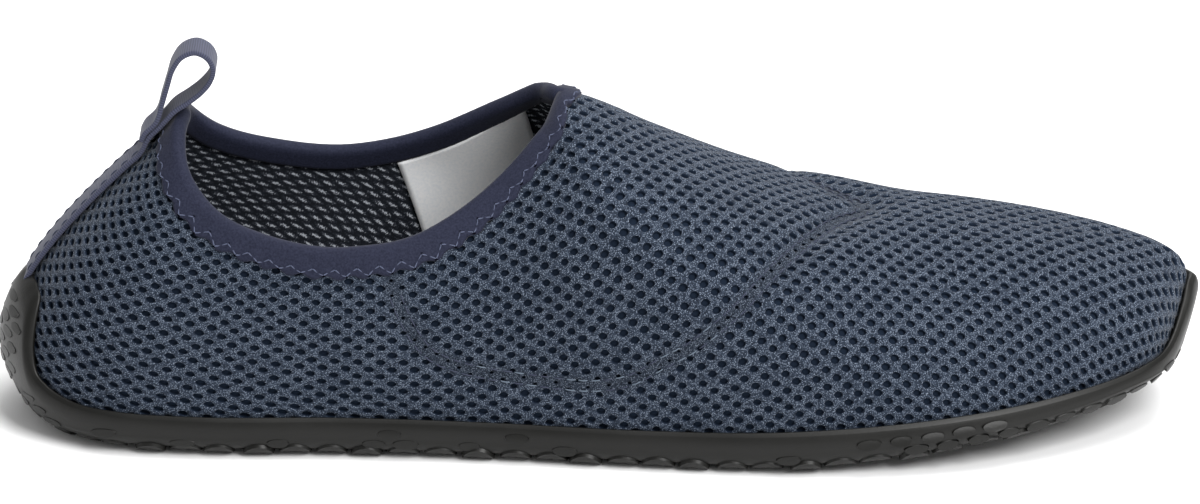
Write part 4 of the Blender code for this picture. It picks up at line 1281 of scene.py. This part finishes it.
def tape_piece(tree, finish, thread):
    """The tape up the back seam and its loop, one woven strip, padded where it is sewn down."""
    line = tape_line(tree)
    travel = travel_along(line)
    places = np.linspace(0, travel[-1], TAPE_ROWS + 1)
    middle = smooth(travel, line, places)
    along = unit(np.gradient(middle, places, axis=0))
    out = np.stack((-along[:, 2], np.zeros(len(along)), along[:, 0]), axis=1)
    bm, across, up = grid_sheet(TAPE_COLUMNS, TAPE_ROWS)
    row = np.round(up * TAPE_ROWS).astype(int)
    side = (across - 0.5) * TAPE_WIDTH
    shift = np.stack((np.zeros(len(side)), side, np.zeros(len(side))), axis=1)
    set_cloth(bm, np.stack((side, places[row]), axis=1))
    sewn_end = travel[SEAM_ROWS]
    sewn = np.clip((sewn_end - places) / PAD_END, 0, 1)
    sewn *= np.clip((places - PAD_START) / PAD_RISE, 0, 1)
    pad = TAPE_PAD * sewn[row] * np.cos(side / TAPE_WIDTH * math.pi)
    place_all(bm, middle[row] + shift + out[row] * pad[:, None])
    lines = []
    lift = TAPE_THICKNESS + TAPE_PAD * STITCH_PAD + np.array(STITCH_ARCH)
    for edge in (-STITCH_ASIDE, STITCH_ASIDE):
        for begin in np.arange(STITCH_START, sewn_end, TAPE_STITCH):
            spots = begin + TAPE_STITCH * np.linspace(0, TAPE_SHOWN, len(STITCH_ARCH))
            base, facing = (read_line(spots, places, values) for values in (middle, out))
            base[:, 1] += edge * TAPE_WIDTH
            lines.append(base + facing * lift[:, None])
    thread_lines("tape_stitches", lines, THREAD_RADIUS, thread, "pull_tape")
    bm.normal_update()
    if sum(f.normal.dot(Vector(out[0])) for f in list(bm.faces)[:5]) < 0:
        bmesh.ops.reverse_faces(bm, faces=bm.faces)
    tape = piece_from("tape", bm, (finish,), "pull_tape")
    wall = tape.modifiers.new("wall", "SOLIDIFY")
    wall.thickness, wall.offset = TAPE_THICKNESS, 1.0
    edge = tape.modifiers.new("edge", "BEVEL")
    edge.width, edge.segments, edge.limit_method = TAPE_THICKNESS * 0.3, 2, "ANGLE"
    return tape


INSOLE_THICKNESS = 0.0030
FOOTBED_COLUMNS = 360
# Rows round its edge: height above its underside, and how far the row is drawn in
FOOTBED_EDGE = ((0, 0.0008), (0.0008, 0), (0.0020, 0), (0.0028, 0.0003), (0.0030, 0.0010))


def footbed_piece(finish):
    """The footbed on the sole's floor."""
    stations = np.linspace(0, 2, FOOTBED_COLUMNS, endpoint=False)
    table = skin_table(stations)
    low = floor_height(stations) + GAP
    inset = -(UPPER_WALL + 2 * GAP)
    rows = []
    for lift, extra in FOOTBED_EDGE:
        ring = rings_at(table, low + GAP + lift, inset - extra)
        ring[:, 2] = low + lift
        rows.append(ring)

    def bottom(points):
        return under_height(points) + FLOOR_THICKNESS + GAP

    rings = inward_rings(rows[0], bottom)[::-1] + rows
    rings += inward_rings(rows[-1], lambda points: bottom(points) + INSOLE_THICKNESS)
    return ring_piece("footbed_sheet", np.array(rings), finish, "insole")


LABEL_WIDTH = 0.030
LABEL_DROP = 0.024
LABEL_START = 0.325
LABEL_HANG = (0.30, 0.25, -1.00)
LABEL_THICKNESS = 0.0003
LABEL_CELLS = 24
# It starts this share of the binding's width below the collar's edge, and stands off the wall
# by a little, more at its foot and in faint waves
LABEL_TUCK = 0.7
LABEL_OFF, LABEL_CURL, LABEL_WAVE = 0.0005, 0.0006, 0.0002
WAVES_ALONG, WAVES_UP = 9, 3


def label_piece(tree, finish):
    """The blank label that hangs from under the binding inside the inner side."""
    stations, edge = collar_ring()
    line = edge[stations > 1][::-1] + MIDDLE
    bm, across, up = grid_sheet(LABEL_CELLS, LABEL_CELLS)
    hang = unit(np.array(LABEL_HANG))
    points = []
    for a, u in zip(across, up):
        x = LABEL_START * SOLE_LENGTH + a * LABEL_WIDTH
        top = read_line(x, line[:, 0], line) - MIDDLE
        drop = BINDING_WIDTH * LABEL_TUCK + (1 - u) * LABEL_DROP
        curl = LABEL_OFF + LABEL_CURL * (1 - u) ** 2
        curl += LABEL_WAVE * math.sin(a * WAVES_ALONG + u * WAVES_UP)
        points.append(on_skin(tree, top + hang * drop, -UPPER_WALL - curl))
    place_all(bm, points)
    label = piece_from("label_sheet", bm, (finish,), "label")
    wall = label.modifiers.new("wall", "SOLIDIFY")
    wall.thickness, wall.offset = LABEL_THICKNESS, 0.0
    return label


def linear(colour):
    """Scene-linear values of an sRGB hex colour, with alpha."""
    parts = [int(colour[k:k + 2], 16) / 255 for k in (1, 3, 5)]
    return (*(p / 12.92 if p <= 0.04045 else ((p + 0.055) / 1.055) ** 2.4 for p in parts), 1.0)


def set_sockets(tree, node, values):
    """Sets a node's inputs, by name or number, to values or to links from other nodes."""
    for name, value in values.items():
        socket = node.inputs[name]
        if isinstance(value, bpy.types.NodeSocket):
            tree.links.new(value, socket)
        else:
            socket.default_value = value


def add(tree, kind, sockets=None, stops=(), **settings):
    """Adds a shader node: its settings, its inputs, and (place, hex colour) stops if it has any."""
    node = tree.nodes.new("ShaderNode" + kind)
    for name, value in settings.items():
        setattr(node, name, value)
    for k, (position, colour) in enumerate(stops):
        if k == len(node.color_ramp.elements):
            node.color_ramp.elements.new(position)
        node.color_ramp.elements[k].position = position
        node.color_ramp.elements[k].color = linear(colour)
    set_sockets(tree, node, sockets or {})
    return node


def new_material(name):
    made = bpy.data.materials.new(name)
    made.use_nodes = True
    tree = made.node_tree
    return made, tree, tree.nodes["Principled BSDF"]


# Millimetres in a metre: a scale on cloth places in millimetres counts grains a millimetre, and
# one on Object coordinates, which are in metres, counts grains a metre
MM = 1000.0


def spacer_knit():
    """Polyester spacer knit, warp knitted and dyed: fine heathered loops, dull with a soft sheen.
    The filaments are too fine to show, so the heather is drawn in grains of 0.3 mm."""
    made, tree, shader = new_material("spacer_knit")
    uv = add(tree, "UVMap", uv_map="cloth").outputs["UV"]
    loops = add(tree, "VectorMath", {0: uv, "Scale": MM}, operation="SCALE").outputs["Vector"]
    grain = add(tree, "TexVoronoi", {"Vector": loops, "Scale": 3.3, "Randomness": 0.9})
    shade = add(tree, "TexNoise", {"Vector": loops, "Scale": 3.4, "Detail": 3.0, "Roughness": 0.7})
    parts = {0: grain.outputs["Distance"], 1: shade.outputs["Fac"]}
    mix = add(tree, "Math", parts, operation="MULTIPLY").outputs["Value"]
    stops = ((0.04, "#8A94A3"), (0.19, "#2E3745"), (0.42, "#181E28"))
    colour = add(tree, "ValToRGB", {"Fac": mix}, stops).outputs["Color"]
    # Painted shade: near the seam's lines the knit's colour is darkened to 0.72 of itself, standing
    # in for the shade in the stitched trough
    seam_nearness = add(tree, "Attribute", attribute_name="seam_nearness").outputs["Fac"]
    shade = add(tree, "MapRange", {"Value": seam_nearness, "To Min": 1.0, "To Max": 0.72})
    parts = {0: colour, "Scale": shade.outputs["Result"]}
    colour = add(tree, "VectorMath", parts, operation="SCALE")
    bump = add(tree, "Bump", {"Height": mix, "Distance": 0.0004, "Strength": 0.5}, invert=True)
    set_sockets(tree, shader, {
        "Base Color": colour.outputs["Vector"], "Roughness": 0.85, "Normal": bump.outputs["Normal"],
        "Sheen Weight": 0.10, "Sheen Roughness": 0.4, "Specular IOR Level": 0.12,
    })
    return made


def spacer_pile():
    """The spacer yarns seen inside the holes: the same dyed polyester, in deep shade."""
    made, tree, shader = new_material("spacer_pile")
    set_sockets(tree, shader, {
        "Base Color": linear("#1C2533"), "Roughness": 0.95, "Specular IOR Level": 0.05,
    })
    return made


def sewing_thread(name, colour):
    """Polyester sewing thread, twisted: a dull thread with a slight sheen."""
    made, tree, shader = new_material(name)
    set_sockets(tree, shader, {
        "Base Color": linear(colour), "Roughness": 0.6, "Specular IOR Level": 0.2,
    })
    return made


def puncture_painted_shade():
    """Painted shade of a needle's hole in the elastic: a near-black disc, as only shade shows in
    the hole.
    """
    made, tree, shader = new_material("needle_hole_painted_shade")
    set_sockets(tree, shader, {
        "Base Color": linear("#0B0C12"), "Roughness": 0.9, "Specular IOR Level": 0.0,
    })
    return made


def lattice_gap(tree, place, shift, spread):
    """Distance from the nearest point of a unit lattice that is moved by the shift."""
    steps = (
        ("ADD", shift),
        ("FRACTION", (0.0, 0.0, 0.0)),
        ("SUBTRACT", (0.5, 0.5, 0.0)),
        ("MULTIPLY", spread),
    )
    for operation, other in steps:
        step = add(tree, "VectorMath", {0: place, 1: other}, operation=operation)
        place = step.outputs["Vector"]
    return add(tree, "VectorMath", {0: place}, operation="LENGTH").outputs["Value"]


def knit_backing():
    """The spacer knit's inner face: near black, with pale yarn showing in dashed rows. The rows
    follow the holes' pitch, and the dashes are drawn coarser than the yarn's loops, to show."""
    made, tree, shader = new_material("knit_backing")
    uv = add(tree, "UVMap", uv_map="cloth").outputs["UV"]
    scale = (1 / HOLE_PITCH, 0.62 / ROW_PITCH, 0.0)
    place = add(tree, "VectorMath", {0: uv, 1: scale}, operation="MULTIPLY").outputs["Vector"]
    spread = (HOLE_PITCH * MM, 4.0 * ROW_PITCH * MM, 0.0)
    gaps = [lattice_gap(tree, place, (shift, shift, 0.0), spread) for shift in (0.0, 0.5)]
    near = add(tree, "Math", {0: gaps[0], 1: gaps[1]}, operation="MINIMUM").outputs["Value"]
    grain = {0: uv, 1: (3.4 * MM, 1.5 * MM, 0.0)}
    loops = add(tree, "VectorMath", grain, operation="MULTIPLY").outputs["Vector"]
    tuft = add(tree, "TexNoise", {"Vector": loops, "Scale": 1.0, "Detail": 2.0}).outputs["Fac"]
    steps = (("MULTIPLY_ADD", -4.6, 3.10), ("ADD", near, 0.0), ("MULTIPLY", 0.33, 0.0))
    for operation, other, more in steps:
        parts = {0: tuft, 1: other, 2: more}
        tuft = add(tree, "Math", parts, operation=operation).outputs["Value"]
    stops = ((0.40, "#BDC2CA"), (0.60, "#3A3E47"), (0.95, "#1C1F25"))
    colour = add(tree, "ValToRGB", {"Fac": tuft}, stops).outputs["Color"]
    set_sockets(tree, shader, {"Base Color": colour, "Roughness": 0.9, "Specular IOR Level": 0.1})
    return made


def elastic_binding():
    """Folded elastic tape with a brushed face: smooth violet navy with a faint nap, whose fibres
    are too fine to show and are drawn as flecks of about 0.45 mm."""
    made, tree, shader = new_material("elastic_binding")
    place = add(tree, "TexCoord").outputs["Object"]
    fine = add(tree, "TexNoise", {"Vector": place, "Scale": 2200.0, "Detail": 2.0})
    stops = ((0.3, "#191C2B"), (0.7, "#26293A"))
    colour = add(tree, "ValToRGB", {"Fac": fine.outputs["Fac"]}, stops).outputs["Color"]
    bump = add(tree, "Bump", {"Height": fine.outputs["Fac"], "Distance": 0.0001, "Strength": 0.5})
    set_sockets(tree, shader, {
        "Base Color": colour, "Roughness": 0.75, "Normal": bump.outputs["Normal"],
        "Sheen Weight": 0.08, "Sheen Roughness": 0.4, "Specular IOR Level": 0.12,
    })
    return made


def woven_tape():
    """Woven polyester tape: fine ribs across it, 0.6 mm apart, and a slight gloss."""
    made, tree, shader = new_material("woven_tape")
    uv = add(tree, "UVMap", uv_map="cloth").outputs["UV"]
    fine = add(tree, "VectorMath", {0: uv, "Scale": MM}, operation="SCALE").outputs["Vector"]
    wave = {"Vector": fine, "Scale": 0.55, "Distortion": 0.6, "Detail": 1.0}
    ribs = add(tree, "TexWave", wave, bands_direction="Y")
    stops = ((0.2, "#2C2F3F"), (0.8, "#42455A"))
    colour = add(tree, "ValToRGB", {"Fac": ribs.outputs["Fac"]}, stops).outputs["Color"]
    bump = add(tree, "Bump", {"Height": ribs.outputs["Fac"], "Distance": 0.0001, "Strength": 0.6})
    set_sockets(tree, shader, {
        "Base Color": colour, "Roughness": 0.7, "Normal": bump.outputs["Normal"],
        "Sheen Weight": 0.1, "Specular IOR Level": 0.25,
    })
    return made


def moulded_rubber():
    """Moulded rubber from a fine-sparked tool: near black, satin, with a dusting of grey. The
    sparks' pits are too fine to show and are drawn about 0.6 mm wide."""
    made, tree, shader = new_material("moulded_rubber")
    place = add(tree, "TexCoord").outputs["Object"]
    grain = add(tree, "TexNoise", {"Vector": place, "Scale": 1600.0, "Detail": 3.0})
    cloud = add(tree, "TexNoise", {"Vector": place, "Scale": 60.0, "Detail": 4.0})
    stops = ((0.35, "#060604"), (0.65, "#0C0C0A"))
    colour = add(tree, "ValToRGB", {"Fac": cloud.outputs["Fac"]}, stops).outputs["Color"]
    rough = add(tree, "MapRange", {"Value": cloud.outputs["Fac"], "To Min": 0.34, "To Max": 0.52})
    bump = add(tree, "Bump", {"Height": grain.outputs["Fac"], "Distance": 0.00006, "Strength": 0.5})
    set_sockets(tree, shader, {
        "Base Color": colour, "Roughness": rough.outputs["Result"],
        "Normal": bump.outputs["Normal"], "Specular IOR Level": 0.30,
    })
    return made


def foam_footbed():
    """Foam footbed faced with a dark knit: soft and dull. The knit's loops are drawn about 1 mm
    wide, coarser than they are, to show."""
    made, tree, shader = new_material("foam_footbed")
    place = add(tree, "TexCoord").outputs["Object"]
    grain = add(tree, "TexNoise", {"Vector": place, "Scale": 900.0, "Detail": 3.0})
    stops = ((0.35, "#15171B"), (0.7, "#2C3038"))
    colour = add(tree, "ValToRGB", {"Fac": grain.outputs["Fac"]}, stops).outputs["Color"]
    bump = add(tree, "Bump", {"Height": grain.outputs["Fac"], "Distance": 0.0003, "Strength": 0.5})
    set_sockets(tree, shader, {
        "Base Color": colour, "Roughness": 0.9, "Normal": bump.outputs["Normal"],
    })
    return made


def satin_label():
    """Woven satin label, blank: off-white with a slight gloss. Its threads are too fine to show
    and are drawn as flecks of about 0.7 mm."""
    made, tree, shader = new_material("satin_label")
    place = add(tree, "TexCoord").outputs["Object"]
    grain = add(tree, "TexNoise", {"Vector": place, "Scale": 1500.0, "Detail": 2.0})
    stops = ((0.3, "#F2F5F8"), (0.7, "#FFFFFF"))
    colour = add(tree, "ValToRGB", {"Fac": grain.outputs["Fac"]}, stops).outputs["Color"]
    set_sockets(tree, shader, {"Base Color": colour, "Roughness": 0.45, "Sheen Weight": 0.5})
    return made


def studio_floor():
    """Matt paper sweep, plain and pale."""
    made, tree, shader = new_material("paper_sweep")
    set_sockets(tree, shader, {"Base Color": linear("#F4F4F4"), "Roughness": 0.9})
    return made


# Camera: the photograph's angle, fitted to the shoe's outline
CAMERA_HEIGHT_ANGLE = 21.5
CAMERA_DISTANCE = 1.6
CAMERA_TARGET = (0.0, 0.0, 0.037)
CAMERA_LENS = 205.4


def set_stage():
    bm = bmesh.new()
    bmesh.ops.create_grid(bm, x_segments=1, y_segments=1, size=3.0)
    mesh = bpy.data.meshes.new("floor")
    bm.to_mesh(mesh)
    bm.free()
    mesh.materials.append(studio_floor())
    floor = bpy.data.objects.new("floor", mesh)
    bpy.context.scene.collection.objects.link(floor)
    lens = bpy.data.cameras.new("camera")
    lens.lens, lens.sensor_width = CAMERA_LENS, 36.0
    lens.clip_start, lens.clip_end = 0.01, 20.0
    camera = bpy.data.objects.new("camera", lens)
    bpy.context.scene.collection.objects.link(camera)
    tilt = math.radians(CAMERA_HEIGHT_ANGLE)
    target = Vector(CAMERA_TARGET)
    camera.location = target + Vector((0, -math.cos(tilt), math.sin(tilt))) * CAMERA_DISTANCE
    camera.rotation_euler = (math.radians(90) - tilt, 0, 0)
    bpy.context.scene.camera = camera


Lamp = namedtuple("Lamp", "name place size power")
LAMPS = (
    Lamp("top", (0.25, 0.05, 1.30), 0.9, 15.0),
    Lamp("key", (0.75, -0.95, 1.15), 0.8, 27.0),
    Lamp("back", (0.20, 1.30, 0.90), 1.0, 7.0),
)


def set_lights():
    for lamp in LAMPS:
        light = bpy.data.lights.new(lamp.name, "AREA")
        light.energy, light.size = lamp.power, lamp.size
        holder = bpy.data.objects.new(lamp.name, light)
        holder.location = lamp.place
        aim = Vector(CAMERA_TARGET) - Vector(lamp.place)
        holder.rotation_euler = aim.to_track_quat("-Z", "Y").to_euler()
        bpy.context.scene.collection.objects.link(holder)
    world = bpy.data.worlds.new("studio")
    world.use_nodes = True
    sky = world.node_tree.nodes["Background"]
    sky.inputs["Color"].default_value = linear("#FFFFFF")
    sky.inputs["Strength"].default_value = 0.55
    bpy.context.scene.world = world
    bpy.context.scene.view_settings.view_transform = "Standard"


def dress_shoe():
    grid = lay_cloth()
    sheet = skin_mesh(grid)
    sheet.normal_update()
    tree = BVHTree.FromBMesh(sheet)
    rubber = moulded_rubber()
    dark_thread = sewing_thread("dark_thread", "#323748")
    # A paler copy of the seam thread: painted highlight for the seam's stitches that catch the
    # light
    seam_thread_painted_highlight = sewing_thread("seam_thread_painted_highlight", "#5C6774")
    knit_pieces(grid, (spacer_knit(), spacer_pile()))
    lining_piece(sheet, (spacer_pile(), knit_backing()))
    seam_stitches(seam_thread_painted_highlight, dark_thread)
    outside, inside = cup_sections()
    rubber_cup(outside, inside, rubber)
    sole_scales(cup_side(outside), rubber)
    sole_lugs(rubber)
    sections = binding_sections(tree)
    binding_piece(sections, elastic_binding())
    zigzag(sections, sewing_thread("binding_thread", "#4B5165"), puncture_painted_shade())
    tape_piece(tree, woven_tape(), dark_thread)
    footbed_piece(foam_footbed())
    label_piece(tree, satin_label())


dress_shoe()
set_stage()
set_lights()
